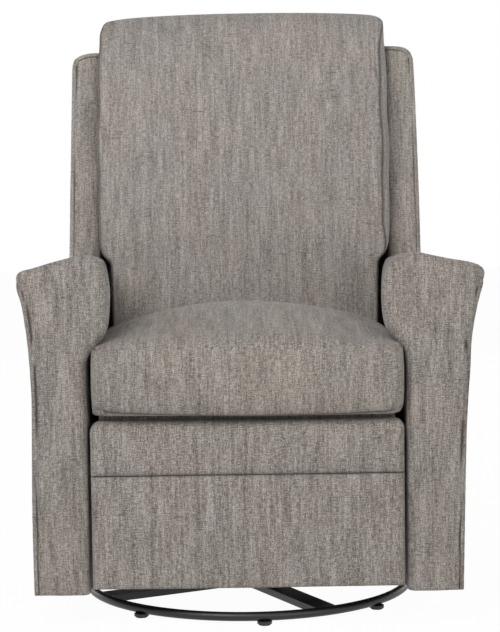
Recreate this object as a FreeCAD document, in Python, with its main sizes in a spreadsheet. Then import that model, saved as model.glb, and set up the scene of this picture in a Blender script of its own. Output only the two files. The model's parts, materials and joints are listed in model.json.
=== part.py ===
"""Swivel glider recliner with an upholstered body on a round tube base, in millimetres.

The chair faces -Y and +Z is up. The origin lies on the floor, on the swivel axis.
A cross of flat bars in the ring carries a bearing. On it turns a steel stand, from which
four links hang the chair, so that it glides. The seat runs forward in channels as the
back leans, and a double parallelogram of links on each side swings the footrest out.
"""
import FreeCAD, Part
import math
import os
import Sketcher
from FreeCAD import Placement, Rotation, Vector

doc = FreeCAD.newDocument("recliner")

SIZES = (
    ("ring_radius", 297, "Centre line of the ring on the floor pads"),
    ("ring_tube", 16, "Diameter of the ring's tube"),
    ("pad_height", 7, "Height of a floor pad"),
    ("pad_radius", 13, "Radius of a floor pad"),
    ("base_turn", 27.5, "Angle of the base's cross from the chair's front, in degrees"),
    ("bar_width", 40, "Width of a cross bar"),
    ("bar_thickness", 12, "Thickness of a cross bar"),
    ("bearing_side", 152, "Side of a bearing plate"),
    ("bearing_plate", 3, "Thickness of a bearing plate"),
    ("race_height", 6, "Space that the bearing's race fills"),
    ("race_radius", 62, "Outer radius of the race"),
    ("race_width", 14, "Radial width of the race"),
    ("king_radius", 12, "Radius of the pin in the middle of the bearing"),
    ("stand_depth", 236, "Depth of the stand's plate"),
    ("stand_plate", 5, "Thickness of the stand's plate"),
    ("stand_half_width", 140, "Outer face of a stand side, from the swivel axis"),
    ("stand_side", 4, "Thickness of a stand side"),
    ("glide_spread", 90, "Length from the swivel axis to a glide pivot, fore and aft"),
    ("glide_length", 100, "Length of a glide link between its pivots"),
    ("glide_low", 112, "Height of the lower glide pivots"),
    ("glide_width", 24, "Width of a glide link"),
    ("glide_thickness", 5, "Thickness of a glide link"),
    ("glide_standoff", 8, "Shoulder between a stand side and a glide link"),
    ("glide_bolt", 5, "Radius of a glide bolt"),
    ("bolt_head", 8, "Corner radius of a glide bolt's head"),
    ("head_height", 4.5, "Height of a glide bolt's head"),
    ("hanger_height", 38, "Height of a hanger rail's upright leg"),
    ("hanger_flange", 40, "Width of a hanger rail's flat leg"),
    ("hanger_thickness", 4, "Thickness of a hanger rail"),
    ("beam_front", 200, "Front face of the front beam, forward of the swivel axis"),
    ("beam_rear", 200, "Rear face of the rear beam, behind the swivel axis"),
    ("beam_width", 35, "Width of a beam"),
    ("beam_height", 30, "Height of a beam"),
    ("arm_bottom", 60, "Height of the arm's lower edge"),
    ("arm_inner", 275, "Inner face of an arm"),
    ("arm_outer", 370, "Outer face of an arm at its lower edge"),
    ("arm_flare_start", 400, "Height where the outer face starts to flare"),
    ("arm_roll_start", 474, "Height where the inner roll starts"),
    ("arm_roll", 44, "How far the inner roll stands in"),
    ("arm_crest", 643, "Height of the arm's crest"),
    ("arm_crest_in", 11, "How far the crest lies outside the arm's inner face"),
    ("arm_tip_x", 398, "Outer tip of the arm"),
    ("arm_tip_z", 607, "Height of the arm's outer tip"),
    ("arm_front", 315, "Front of the arms, forward of the swivel axis"),
    ("arm_panel", 12, "Thickness of the arm's front panel"),
    ("arm_rear", 235, "Rear of the arms below the back"),
    ("arm_rear_knee", 400, "Height where the arm's rear starts to lean"),
    ("rear_panel_top", 250, "Top of the panel between the arms' rear ends"),
    ("rear_panel", 14, "Thickness of that panel"),
    ("channel_low", 296, "Lower face of a seat channel"),
    ("channel_height", 46, "Height of a seat channel"),
    ("channel_depth", 25, "How far a seat channel stands out of the arm"),
    ("channel_wall", 4, "Thickness of a seat channel"),
    ("channel_front", 265, "Front end of a seat channel, forward of the axis"),
    ("channel_rear", 145, "Rear end of a seat channel, behind the axis"),
    ("plate_gap", 31, "From a seat plate's outer face to an arm"),
    ("plate_thickness", 4, "Thickness of a seat plate and of every footrest link"),
    ("plate_front", 252, "Front end of a seat plate"),
    ("plate_rear", 125, "Rear end of a seat plate"),
    ("plate_low", 296, "Lower edge of a seat plate"),
    ("plate_cut", 30, "Height of the cut corner at a seat plate's rear"),
    ("block_length", 60, "Length of a slide block"),
    ("slide_clearance", 0.3, "Gap between a slide block and its channel"),
    ("block_front", 180, "Length from the axis forward to the front slide block's middle"),
    ("block_rear", 80, "Middle of the rear slide block, behind the axis"),
    ("rail_thickness", 18, "Thickness of the seat's wooden rails"),
    ("rail_width", 42, "Width of a seat rail"),
    ("rail_bottom", 350, "Lower face of the seat rails"),
    ("rail_front", 272, "Front face of the front seat rail"),
    ("rail_rear", 150, "Rear face of the rear seat rail"),
    ("deck_thickness", 4, "Thickness of the deck under the cushion"),
    ("seat_gap", 14, "Gap between the seat cushion and an arm"),
    ("seat_tuck", 12, "How far the seat cushion's ends draw in"),
    ("seat_front", 340, "Front of the seat cushion, forward of the axis"),
    ("seat_back", 158, "Rear of the seat cushion, behind the axis"),
    ("seat_edge", 482, "Height of the seat cushion's upper edge"),
    ("seat_crown", 60, "How far the seat cushion's crown stands over its edge"),
    ("front_pivot_y", 215, "Front footrest pivot, forward of the axis"),
    ("front_pivot_z", 335, "Height of the front footrest pivot"),
    ("pivot_step_y", 75, "From the front to the rear footrest pivot, backward"),
    ("pivot_step_z", 15, "From the front to the rear footrest pivot, downward"),
    ("swing_length", 207, "Length of the swinging footrest links"),
    ("swing_start", 105.4, "Angle of the swinging links below forward, in degrees"),
    ("tie_offset", 50, "From the end of a swinging link up to its tie pivot"),
    ("bracket_pivot_y", 250, "Lower footrest pivot, forward of the axis"),
    ("bracket_pivot_z", 220, "Height of the lower footrest pivot"),
    ("link_width", 20, "Width of a footrest link"),
    ("layer_gap", 0.5, "Gap between two layers of the footrest links"),
    ("rivet", 5, "Radius of a footrest rivet"),
    ("rivet_head", 7, "Radius of a rivet's head"),
    ("tube_radius", 10, "Outer radius of the tube between the front links"),
    ("tube_wall", 2.5, "Wall of that tube"),
    ("board_back", 283, "Rear face of the footrest board, forward of the axis"),
    ("board_thickness", 12, "Thickness of the footrest board"),
    ("footrest_gap", 11, "Gap between the footrest's padding and an arm"),
    ("board_inset", 8, "How far the padding stands past its board at each end"),
    ("footrest_bottom", 70, "Lower edge of the footrest"),
    ("footrest_seam", 266, "Height of the seam between the two pads"),
    ("footrest_top", 356, "Top of the footrest"),
    ("footrest_front", 320, "Front of the footrest's pads, forward of the axis"),
    ("lean", 15, "Lean of the back, in degrees"),
    ("wing_y", 300, "Front of the wings at the height of the arms"),
    ("wing_z", 628, "The height where that is measured"),
    ("wing_inset", 15, "How far a wing's inner face lies outside an arm's inner face"),
    ("wing_low_x", 353, "Outer face of a wing at its lower end"),
    ("wing_high_x", 346, "Outer face of a wing at its upper end"),
    ("wing_low", 225, "From the measured height down to the wing's lower end"),
    ("wing_high", 405, "From the measured height up to the wing's upper end"),
    ("wing_depth", 128, "Depth of a wing in front of the outside back"),
    ("wing_round", 28, "Height of the rounded corner at a wing's top"),
    ("outside_back", 20, "Thickness of the outside back"),
    ("outside_low", 305, "From the measured height down to the outside back's edge"),
    ("post_depth", 20, "Depth of a back post"),
    ("post_gap", 16, "From a back post's inner face to an arm"),
    ("post_thickness", 6, "Thickness of a back post"),
    ("post_high", 330, "From the measured height up to a post's upper end"),
    ("back_pivot_y", 262, "Back pivot, behind the axis"),
    ("back_pivot_z", 380, "Height of the back pivot"),
    ("back_pin", 6, "Radius of the back's pivot pins"),
    ("lug_radius", 16, "Radius of a lug round a back pivot"),
    ("bracket_thickness", 6, "Thickness of the back's pivot brackets"),
    ("back_gap", 5, "Gap between the back cushion and a wing"),
    ("back_tuck", 22, "How far the back cushion's ends draw in"),
    ("back_front", 74, "How far the back cushion stands before the wings"),
    ("back_crown", 24, "Crown of the back cushion"),
    ("back_top", 468, "From the measured height up to the back cushion's top"),
    ("notch_gap", 3, "Gap between the back cushion and an arm's roll"),
    ("pin_clearance", 0.05, "Radial clearance of a pin in its bore"),
    ("soft_clearance", 0.5, "Clearance between soft pieces and what they rest on"),
)

sheet = doc.addObject("Spreadsheet::Sheet", "Sizes")
for row, (alias, value, note) in enumerate(SIZES, 1):
    sheet.set(f"A{row}", note)
    sheet.set(f"B{row}", str(value))
    sheet.setAlias(f"B{row}", alias)
doc.recompute()


class Size(float):
    """A length that remembers the sheet expression that it comes from."""

    def __new__(cls, value, text):
        size = float.__new__(cls, value)
        size.text = text
        return size

    def joined(self, other, sign, value, swap=False):
        text = other.text if isinstance(other, Size) else repr(float(other))
        first, second = (text, self.text) if swap else (self.text, text)
        return Size(value, f"({first} {sign} {second})")

    def __add__(self, other):
        return self.joined(other, "+", float(self) + float(other))

    def __radd__(self, other):
        return self.joined(other, "+", float(other) + float(self), True)

    def __sub__(self, other):
        return self.joined(other, "-", float(self) - float(other))

    def __rsub__(self, other):
        return self.joined(other, "-", float(other) - float(self), True)

    def __mul__(self, other):
        return self.joined(other, "*", float(self) * float(other))

    def __rmul__(self, other):
        return self.joined(other, "*", float(other) * float(self), True)

    def __truediv__(self, other):
        return self.joined(other, "/", float(self) / float(other))

    def __neg__(self):
        return Size(-float(self), f"(0 - {self.text})")


class Sizes:
    """The sheet's cells as attributes."""


s = Sizes()
for alias, value, note in SIZES:
    setattr(s, alias, Size(sheet.get(alias), f"Sizes.{alias}"))

SIDES = (("left", -1), ("right", 1))
RING_SIDES = 8
nodes = []

# What lies between the arms follows their inner faces, and the back cushion the wings.
plate_outer = s.arm_inner - s.plate_gap
seat_half_width = s.arm_inner - s.seat_gap
footrest_half_width = s.arm_inner - s.footrest_gap
board_half_width = footrest_half_width - s.board_inset
post_inner = s.arm_inner - s.post_gap
arm_crest_x = s.arm_inner + s.arm_crest_in
wing_inner = s.arm_inner + s.wing_inset
back_half_width = wing_inner - s.back_gap
back_notch = s.arm_inner - s.arm_roll - s.notch_gap


def bind(target, name, size):
    """Give a property its size, tied to the sheet where the size comes from there."""
    if isinstance(size, Size):
        target.setExpression(name, size.text)
    else:
        target.setExpression(name, repr(float(size)))


def keep(target, label):
    target.Label = label
    nodes.append(target)
    return target


def move(target, x=0, y=0, z=0):
    """Bind a piece's place to the sheet."""
    for name, size in (("x", x), ("y", y), ("z", z)):
        if isinstance(size, Size):
            bind(target, f"Placement.Base.{name}", size)
    return target


def box(name, low, high):
    """A box between two corners, both bound to the sheet."""
    block = doc.addObject("Part::Box", name)
    for prop, index in (("Length", 0), ("Width", 1), ("Height", 2)):
        bind(block, prop, high[index] - low[index])
    move(block, *[size if isinstance(size, Size) else Size(size, repr(size)) for size in low])
    return block


def fused(name, pieces):
    joined = doc.addObject("Part::MultiFuse", name)
    joined.Shapes = pieces
    return joined


def cut(name, base, tool):
    result = doc.addObject("Part::Cut", name)
    result.Base = base
    result.Tool = tool
    return result


def new_body(name):
    body = doc.addObject("PartDesign::Body", name)
    body.AllowCompound = True
    return body


def new_sketch(body, name, plane, offset=0, turn=0):
    """A sketch on one of the body's own origin planes."""
    sketch = body.newObject("Sketcher::SketchObject", name)
    for feature in body.Origin.OriginFeatures:
        if feature.Role == plane:
            sketch.AttachmentSupport = [(feature, "")]
    sketch.MapMode = "FlatFace"
    sketch.AttachmentOffset = Placement(Vector(0, 0, float(offset)), Rotation(Vector(0, 0, 1), turn))
    if isinstance(offset, Size):
        bind(sketch, "AttachmentOffset.Base.z", offset)
    return sketch


def pin_point(sketch, geometry, spot, x, y):
    """Bind a point of the sketch to its distances from the sketch's origin."""
    for kind, size in (("DistanceX", x), ("DistanceY", y)):
        index = sketch.addConstraint(Sketcher.Constraint(kind, -1, 1, geometry, spot, float(size)))
        if isinstance(size, Size):
            sketch.setExpression(f"Constraints[{index}]", size.text)


def pin_half_circle(sketch, geometry, stop, upright):
    """A half circle needs only its centre's distance across its chord."""
    kind, size = ("DistanceX", stop[0]) if upright else ("DistanceY", stop[1])
    index = sketch.addConstraint(Sketcher.Constraint(kind, -1, 1, geometry, 3, float(size)))
    if isinstance(size, Size):
        sketch.setExpression(f"Constraints[{index}]", size.text)


def draw_outline(sketch, stops):
    """A closed loop; a stop is (x, y), or (x, y, bulge) where an arc leaves it.

    A positive bulge stands to the left of the way from the stop to the next one.
    """
    ends = []
    for index, stop in enumerate(stops):
        after = stops[(index + 1) % len(stops)]
        start = Vector(float(stop[0]), float(stop[1]), 0)
        end = Vector(float(after[0]), float(after[1]), 0)
        if len(stop) == 2:
            geometry = sketch.addGeometry(Part.LineSegment(start, end))
            ends.append((geometry, 1, 2))
            continue
        bulge = float(stop[2])
        way = end - start
        middle = (start + end) * 0.5 + Vector(-way.y, way.x, 0).normalize() * bulge
        clockwise = bulge > 0
        first, last = (end, start) if clockwise else (start, end)
        geometry = sketch.addGeometry(Part.Arc(first, middle, last))
        ends.append((geometry, 2, 1) if clockwise else (geometry, 1, 2))
    for index, (geometry, first, last) in enumerate(ends):
        following = ends[(index + 1) % len(ends)]
        sketch.addConstraint(Sketcher.Constraint("Coincident", geometry, last, following[0], following[1]))
        stop = stops[index]
        after = stops[(index + 1) % len(stops)]
        pin_point(sketch, geometry, first, stop[0], stop[1])
        if len(stop) == 3:
            across, up, rise = after[0] - stop[0], after[1] - stop[1], stop[2]
            if abs(math.hypot(across, up) - 2 * abs(rise)) < 1e-6:
                pin_half_circle(sketch, geometry, stop, upright=abs(across) < abs(up))
                continue
            sign = 1 if rise > 0 else -1
            radius = (across * across + up * up) / (rise * (8 * sign)) + rise * (0.5 * sign)
            where = sketch.addConstraint(Sketcher.Constraint("Radius", geometry, float(radius)))
            if isinstance(radius, Size):
                sketch.setExpression(f"Constraints[{where}]", radius.text)


def draw_circle(sketch, x, y, radius):
    circle = Part.Circle(Vector(float(x), float(y), 0), Vector(0, 0, 1), float(radius))
    geometry = sketch.addGeometry(circle)
    pin_point(sketch, geometry, 3, x, y)
    where = sketch.addConstraint(Sketcher.Constraint("Radius", geometry, float(radius)))
    if isinstance(radius, Size):
        sketch.setExpression(f"Constraints[{where}]", radius.text)


def draw_bore(sketch, x, y, clear):
    """A twelve-sided bore whose flats stand a clear radius from its centre."""
    corner = clear / math.cos(math.radians(15))
    turns = [math.radians(30 * step + 15) for step in range(12)]
    draw_outline(sketch, [(x + corner * math.cos(turn), y + corner * math.sin(turn)) for turn in turns])


def pad(body, sketch, length, centred=False):
    feature = body.newObject("PartDesign::Pad", sketch.Name + "_pad")
    feature.Profile = sketch
    if centred:
        feature.SideType = "Symmetric"
    bind(feature, "Length", length)
    sketch.Visibility = False
    return feature


def plate(name, plane, stops, thickness, holes=(), bores=(), centred=False, offset=0):
    """A flat piece of one outline; round holes and bores are (x, y, radius)."""
    body = new_body(name)
    sketch = new_sketch(body, name + "_outline", plane, offset)
    draw_outline(sketch, stops)
    for x, y, radius in holes:
        draw_circle(sketch, x, y, radius)
    for x, y, radius in bores:
        draw_bore(sketch, x, y, radius)
    pad(body, sketch, thickness, centred)
    return body


def round_edges(body, radius, chosen):
    """Round the edges that a test picks out of the body's last feature."""
    doc.recompute()
    tip = body.Tip
    names = [f"Edge{i}" for i, edge in enumerate(tip.Shape.Edges, 1) if chosen(edge)]
    fillet = body.newObject("PartDesign::Fillet", body.Name + "_fillet")
    fillet.Base = (tip, names)
    bind(fillet, "Radius", radius)
    return body


def cylinder(name, radius, low, high, axis="z", x=0, y=0):
    """A cylinder along an axis, from low to high on it, with its centre line at x, y.

    Along the X axis, x and y stand for the centre line's Y and Z.
    """
    rod = doc.addObject("Part::Cylinder", name)
    bind(rod, "Radius", radius)
    bind(rod, "Height", high - low)
    if axis == "x":
        rod.Placement = Placement(Vector(float(low), float(x), float(y)), Rotation(Vector(0, 1, 0), 90))
    else:
        rod.Placement = Placement(Vector(float(x), float(y), float(low)), Rotation())
    return rod


def prism(name, sides, radius, low, high, place, across=False):
    """A prism of so many sides from low to high along Z, or along X where it lies across."""
    bar = doc.addObject("Part::Prism", name)
    bar.Polygon = sides
    bind(bar, "Circumradius", radius)
    bind(bar, "Height", high - low)
    if across:
        bar.Placement = Placement(Vector(float(low), *place), Rotation(Vector(0, 1, 0), 90))
    else:
        bar.Placement = Placement(Vector(*place, float(low)), Rotation())
    return bar


def tube_ring(name, height):
    """A ring of flat-sided tube with one flat down."""
    half_side = 180 / RING_SIDES
    section = doc.addObject("Part::RegularPolygon", name + "_section")
    section.Polygon = RING_SIDES
    bind(section, "Circumradius", s.ring_tube / (2 * math.cos(math.radians(half_side))))
    upright = Rotation(Vector(1, 0, 0), 90).multiply(Rotation(Vector(0, 0, 1), half_side))
    section.Placement = Placement(Vector(float(s.ring_radius), 0, float(height)), upright)
    turned = doc.addObject("Part::Revolution", name)
    turned.Source = section
    turned.Axis = Vector(0, 0, 1)
    turned.Angle = 360
    turned.Solid = True
    return turned


def mirrored_span(side, inner, outer):
    """The two X values between which a piece lies on one side, low first."""
    return (inner, outer) if side > 0 else (-outer, -inner)


def arc_edge(start, end, bulge):
    """An arc from start to end whose middle stands off the chord by a vector."""
    middle = (start + end) * 0.5 + bulge
    return Part.Arc(start, middle, end).toShape()


def make_base():
    """The ring on its pads, the cross of bars and the fixed half of the bearing."""
    tube = s.ring_tube / 2
    ring_height = s.pad_height + tube
    bar_low = ring_height - s.bar_thickness / 2
    bar_high = ring_height + s.bar_thickness / 2

    keep(tube_ring("base_ring", ring_height), "base_ring")

    feet = []
    for index in range(8):
        turn = math.radians(s.base_turn + 22.5 + 45 * index)
        place = (float(s.ring_radius) * math.sin(turn), -float(s.ring_radius) * math.cos(turn))
        sole = s.pad_height / 3
        feet.append(prism(f"pad_sole_{index}", 12, s.pad_radius * 0.8, 0 * sole, sole, place))
        feet.append(prism(f"pad_body_{index}", 12, s.pad_radius, sole, s.pad_height, place))
    keep(fused("floor_pads", feet), "floor_pads")

    for name, turned, notch_low, notch_high in (
        ("cross_bar_lower", 0, ring_height, bar_high + 1),
        ("cross_bar_upper", 90, bar_low - 1, ring_height),
    ):
        angle = s.base_turn - 90 + turned
        bar = box(name + "_flat", (-s.ring_radius, -s.bar_width / 2, bar_low),
                  (s.ring_radius, s.bar_width / 2, bar_high))
        notch = box(name + "_notch", (-s.bar_width / 2, -s.bar_width / 2 - 1, notch_low),
                    (s.bar_width / 2, s.bar_width / 2 + 1, notch_high))
        weld = tube_ring(name + "_weld", ring_height)
        lapped = cut(name + "_lapped", bar, notch)
        rounded = cut(name + "_ends", lapped, weld)
        limit = cylinder(name + "_limit", s.ring_radius, 0 * s.ring_radius, bar_high * 2)
        fitted = doc.addObject("Part::Common", name)
        fitted.Base = rounded
        fitted.Tool = limit
        doc.recompute()
        fitted.Placement = Placement(Vector(), Rotation(Vector(0, 0, 1), angle))
        keep(fitted, name)

    half = s.bearing_side / 2
    lower = new_body("bearing_lower")
    square = new_sketch(lower, "bearing_lower_plate", "XY_Plane")
    draw_outline(square, [(-half, -half), (half, -half), (half, half), (-half, half)])
    pad(lower, square, s.bearing_plate)
    race = new_sketch(lower, "bearing_lower_race", "XY_Plane")
    draw_circle(race, 0 * half, 0 * half, s.race_radius)
    draw_bore(race, 0 * half, 0 * half, s.race_radius - s.race_width)
    pad(lower, race, s.bearing_plate + s.race_height - s.soft_clearance)
    king = new_sketch(lower, "bearing_king_pin", "XY_Plane")
    draw_circle(king, 0 * half, 0 * half, s.king_radius)
    pad(lower, king, s.bearing_plate * 2 + s.race_height)
    move(lower, 0, 0, bar_high)
    lower.Placement.Rotation = Rotation(Vector(0, 0, 1), float(s.base_turn))
    keep(lower, "bearing_lower")
    return bar_high + s.bearing_plate + s.race_height


def make_turntable(bearing_z):
    """The turning half of the bearing and the stand that holds the glide links."""
    half = s.bearing_side / 2
    hole = s.king_radius + s.pin_clearance
    upper = plate("bearing_upper", "XY_Plane",
                  [(-half, -half), (half, -half), (half, half), (-half, half)],
                  s.bearing_plate, bores=[(0 * half, 0 * half, hole)])
    keep(move(upper, 0, 0, bearing_z), "bearing_upper")

    plate_z = bearing_z + s.bearing_plate
    side, depth = s.stand_half_width, s.stand_depth / 2
    floor = plate("stand_plate", "XY_Plane",
                  [(-side, -depth), (side, -depth), (side, depth), (-side, depth)],
                  s.stand_plate, bores=[(0 * half, 0 * half, s.king_radius * 2)])
    keep(move(floor, 0, 0, plate_z), "stand_plate")

    foot_z = plate_z + s.stand_plate
    pivot_z = s.glide_low + s.glide_length
    top_z = pivot_z + s.glide_width / 2
    knee_z = foot_z + (top_z - foot_z) / 3
    low, half = s.stand_depth / 2, s.glide_width / 2
    for name, sign in SIDES:
        wall = new_body(f"stand_side_{name}")
        outline = new_sketch(wall, f"stand_side_{name}_outline", "YZ_Plane")
        draw_outline(outline, [(-low, foot_z), (low, foot_z), (low, knee_z),
                               (s.glide_spread + half, top_z), (-s.glide_spread - half, top_z),
                               (-low, knee_z)])
        for place in (-s.glide_spread, s.glide_spread):
            draw_bore(outline, place, pivot_z, s.glide_bolt + s.pin_clearance)
        pad(wall, outline, s.stand_side)
        foot = new_sketch(wall, f"stand_side_{name}_foot", "YZ_Plane")
        draw_outline(foot, [(-low, foot_z), (low, foot_z), (low, foot_z + s.stand_side),
                            (-low, foot_z + s.stand_side)])
        flange = pad(wall, foot, s.stand_side * 8)
        flange.Reversed = sign > 0
        if sign > 0:
            foot.AttachmentOffset = Placement(Vector(0, 0, float(s.stand_side)), Rotation())
            bind(foot, "AttachmentOffset.Base.z", s.stand_side)
        move(wall, s.stand_half_width - s.stand_side if sign > 0 else -s.stand_half_width)
        keep(wall, f"stand_side_{name}")

    tie_low = foot_z + s.stand_side
    tie = box("stand_tie", (s.stand_side - s.stand_half_width, -half, tie_low + s.glide_width),
              (s.stand_half_width - s.stand_side, half, tie_low + s.glide_width * 2))
    keep(tie, "stand_tie")
    return pivot_z


def shoulder_bolt(name, start, steps, y, z):
    """A stepped bolt along +X; steps are (length, radius, sides) from its lower end."""
    rods = []
    for index, (length, radius, sides) in enumerate(steps):
        place = (float(y), float(z))
        rods.append(prism(f"{name}_{index}", sides, radius, start, start + length, place, True))
        start = start + length
    return fused(name, rods)


def make_glider(pivot_z):
    """The hanging links, their bolts, the hanger rails and the beams between the arms."""
    link_inner = s.stand_half_width + s.glide_standoff
    link_outer = link_inner + s.glide_thickness
    hanger_inner = link_outer + s.glide_standoff / 4
    hanger_outer = hanger_inner + s.hanger_thickness
    gap = s.layer_gap
    head, collar, shank = (s.bolt_head, 6), (s.bolt_head, 12), (s.glide_bolt, 12)
    flat_inner = s.stand_half_width - s.stand_side
    uppers, lowers = [], []
    for name, sign in SIDES:
        for row, place in (("front", -s.glide_spread), ("rear", s.glide_spread)):
            half = s.glide_width / 2
            bore = s.glide_bolt + s.pin_clearance
            link = plate(f"glide_link_{row}_{name}", "YZ_Plane",
                         [(-half, 0 * half), (-half, -s.glide_length, -half), (half, -s.glide_length),
                          (half, 0 * half, -half)],
                         s.glide_thickness,
                         bores=[(0 * half, 0 * half, bore), (0 * half, -s.glide_length, bore)])
            low, high = mirrored_span(sign, link_inner, link_outer)
            keep(move(link, low, place, pivot_z), f"glide_link_{row}_{name}")

            steps = [(s.head_height, *head), (s.stand_side, *shank), (s.glide_standoff - gap, *collar),
                     (s.glide_thickness + gap * 2, *shank), (s.head_height, *head)]
            start = flat_inner - s.head_height
            if sign < 0:
                steps.reverse()
                start = -(link_outer + gap + s.head_height)
            uppers.append(shoulder_bolt(f"upper_bolt_{row}_{name}", start, steps, place, pivot_z))

            steps = [(s.head_height, *head), (s.glide_thickness + gap * 2, *shank),
                     (hanger_inner - link_outer - gap, *collar), (s.hanger_thickness, *shank),
                     (s.head_height, *head)]
            start = link_inner - gap - s.head_height
            if sign < 0:
                steps.reverse()
                start = -(hanger_outer + s.head_height)
            lowers.append(shoulder_bolt(f"lower_bolt_{row}_{name}", start, steps, place, s.glide_low))
    keep(fused("upper_glide_bolts", uppers), "upper_glide_bolts")
    keep(fused("lower_glide_bolts", lowers), "lower_glide_bolts")

    beam_high = s.glide_low - s.bolt_head - s.hanger_thickness - 1
    beam_low = beam_high - s.beam_height
    for name, sign in SIDES:
        rail = new_body(f"hanger_rail_{name}")
        upright = new_sketch(rail, f"hanger_rail_{name}_upright", "YZ_Plane")
        rise = beam_high + s.hanger_height
        draw_outline(upright, [(-s.beam_front, beam_high), (s.beam_rear, beam_high),
                               (s.glide_spread + s.glide_width, rise),
                               (-s.glide_spread - s.glide_width, rise)])
        for place in (-s.glide_spread, s.glide_spread):
            draw_bore(upright, place, s.glide_low, s.glide_bolt + s.pin_clearance)
        pad(rail, upright, s.hanger_thickness)
        flat = new_sketch(rail, f"hanger_rail_{name}_flat", "YZ_Plane")
        draw_outline(flat, [(-s.beam_front, beam_high), (s.beam_rear, beam_high),
                            (s.beam_rear, beam_high + s.hanger_thickness),
                            (-s.beam_front, beam_high + s.hanger_thickness)])
        flange = pad(rail, flat, s.hanger_flange)
        if sign < 0:
            flange.Reversed = True
            flat.AttachmentOffset = Placement(Vector(0, 0, float(s.hanger_thickness)), Rotation())
            bind(flat, "AttachmentOffset.Base.z", s.hanger_thickness)
        low, high = mirrored_span(sign, hanger_inner, hanger_outer)
        keep(move(rail, low), f"hanger_rail_{name}")

    for name, front in (("front", -s.beam_front), ("rear", s.beam_rear - s.beam_width)):
        beam = box(f"beam_{name}", (-s.arm_inner, front, beam_low),
                   (s.arm_inner, front + s.beam_width, beam_high))
        keep(beam, f"beam_{name}")


def arm_outline(sign):
    """The arm's section: a rolled inner edge, a sloping top and a flared outer face."""
    stops = [
        (s.arm_inner, s.arm_bottom),
        (s.arm_outer, s.arm_bottom),
        (s.arm_outer + 2, s.arm_flare_start, s.arm_flare_start * 0.017),
        (s.arm_tip_x, s.arm_tip_z, -0.2 * (s.arm_crest - s.arm_tip_z)),
        (s.arm_tip_x - 14, s.arm_crest - 20, 0.05 * (s.arm_crest - s.arm_tip_z)),
        (arm_crest_x, s.arm_crest, -0.2 * (s.arm_crest - s.arm_tip_z)),
        (s.arm_inner - s.arm_roll / 2, s.arm_crest - 12, -s.arm_roll * 0.78),
        (s.arm_inner, s.arm_roll_start),
    ]
    return [(sign * stop[0], stop[1], *[sign * bulge for bulge in stop[2:]]) for stop in stops]


def lean_line(z, before=0):
    """The Y of the wings' front at a height, less a clearance."""
    return s.wing_y + (z - s.wing_z) * math.tan(math.radians(s.lean)) - before


def make_arms():
    """The two padded arms and their flat front panels."""
    knee = s.arm_rear_knee
    top = s.arm_crest + 5
    rear = lean_line(top, 4)
    for name, sign in SIDES:
        arm = new_body(f"arm_{name}")
        section = new_sketch(arm, f"arm_{name}_section", "XZ_Plane", -rear)
        draw_outline(section, arm_outline(sign))
        whole = pad(arm, section, rear + s.arm_front - s.arm_panel)
        behind = new_sketch(arm, f"arm_{name}_rear", "YZ_Plane")
        draw_outline(behind, [(s.arm_rear, 0 * knee), (s.arm_rear * 2, 0 * knee),
                              (s.arm_rear * 2, top), (lean_line(top, 4), top),
                              (lean_line(knee, 4), knee), (s.arm_rear, knee)])
        slant = arm.newObject("PartDesign::Pocket", f"arm_{name}_slant")
        slant.Profile = behind
        slant.SideType = "Symmetric"
        bind(slant, "Length", s.arm_tip_x * 2 + 20)
        doc.recompute()
        assert slant.Shape.Volume < whole.Shape.Volume, "the arm's rear was not cut"
        keep(arm, f"arm_{name}")

        face = plate(f"arm_front_{name}", "XZ_Plane", arm_outline(sign), s.arm_panel,
                     offset=s.arm_front - s.arm_panel)
        keep(face, f"arm_front_{name}")

    panel = box("rear_panel", (-s.arm_inner, s.arm_rear - s.rear_panel, s.arm_bottom),
                (s.arm_inner, s.arm_rear, s.rear_panel_top))
    keep(panel, "rear_panel")


def make_channels():
    """The channels on the arms in which the seat slides, and the back's pivot brackets."""
    wall = s.channel_wall
    low, high = s.channel_low, s.channel_low + s.channel_height
    for name, sign in SIDES:
        inner, outer = s.arm_inner - s.channel_depth, s.arm_inner
        stops = [(inner, low), (outer, low), (outer, high), (inner, high), (inner, high - wall),
                 (outer - wall, high - wall), (outer - wall, low + wall), (inner, low + wall)]
        channel = plate(f"seat_channel_{name}", "XZ_Plane",
                        [(sign * x, z) for x, z in stops],
                        s.channel_front + s.channel_rear, offset=-s.channel_rear)
        keep(channel, f"seat_channel_{name}")

        bracket = new_body(f"back_bracket_{name}")
        outline = new_sketch(bracket, f"back_bracket_{name}_outline", "YZ_Plane")
        y, z, lug = s.back_pivot_y, s.back_pivot_z, s.lug_radius
        draw_outline(outline, [(s.arm_rear - s.lug_radius * 4, z - lug), (y, z - lug, -lug), (y, z + lug),
                               (s.arm_rear - s.lug_radius * 4, z + lug)])
        pad(bracket, outline, s.bracket_thickness)
        pin = new_sketch(bracket, f"back_bracket_{name}_pin", "YZ_Plane")
        draw_circle(pin, y, z, s.back_pin)
        reach = s.arm_inner - post_inner + s.bracket_thickness / 2
        if sign > 0:
            pin.AttachmentOffset = Placement(Vector(0, 0, float(s.bracket_thickness)), Rotation())
            bind(pin, "AttachmentOffset.Base.z", s.bracket_thickness)
        pad(bracket, pin, reach).Reversed = sign > 0
        low_x, high_x = mirrored_span(sign, s.arm_inner - s.bracket_thickness, s.arm_inner)
        keep(move(bracket, low_x), f"back_bracket_{name}")


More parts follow.
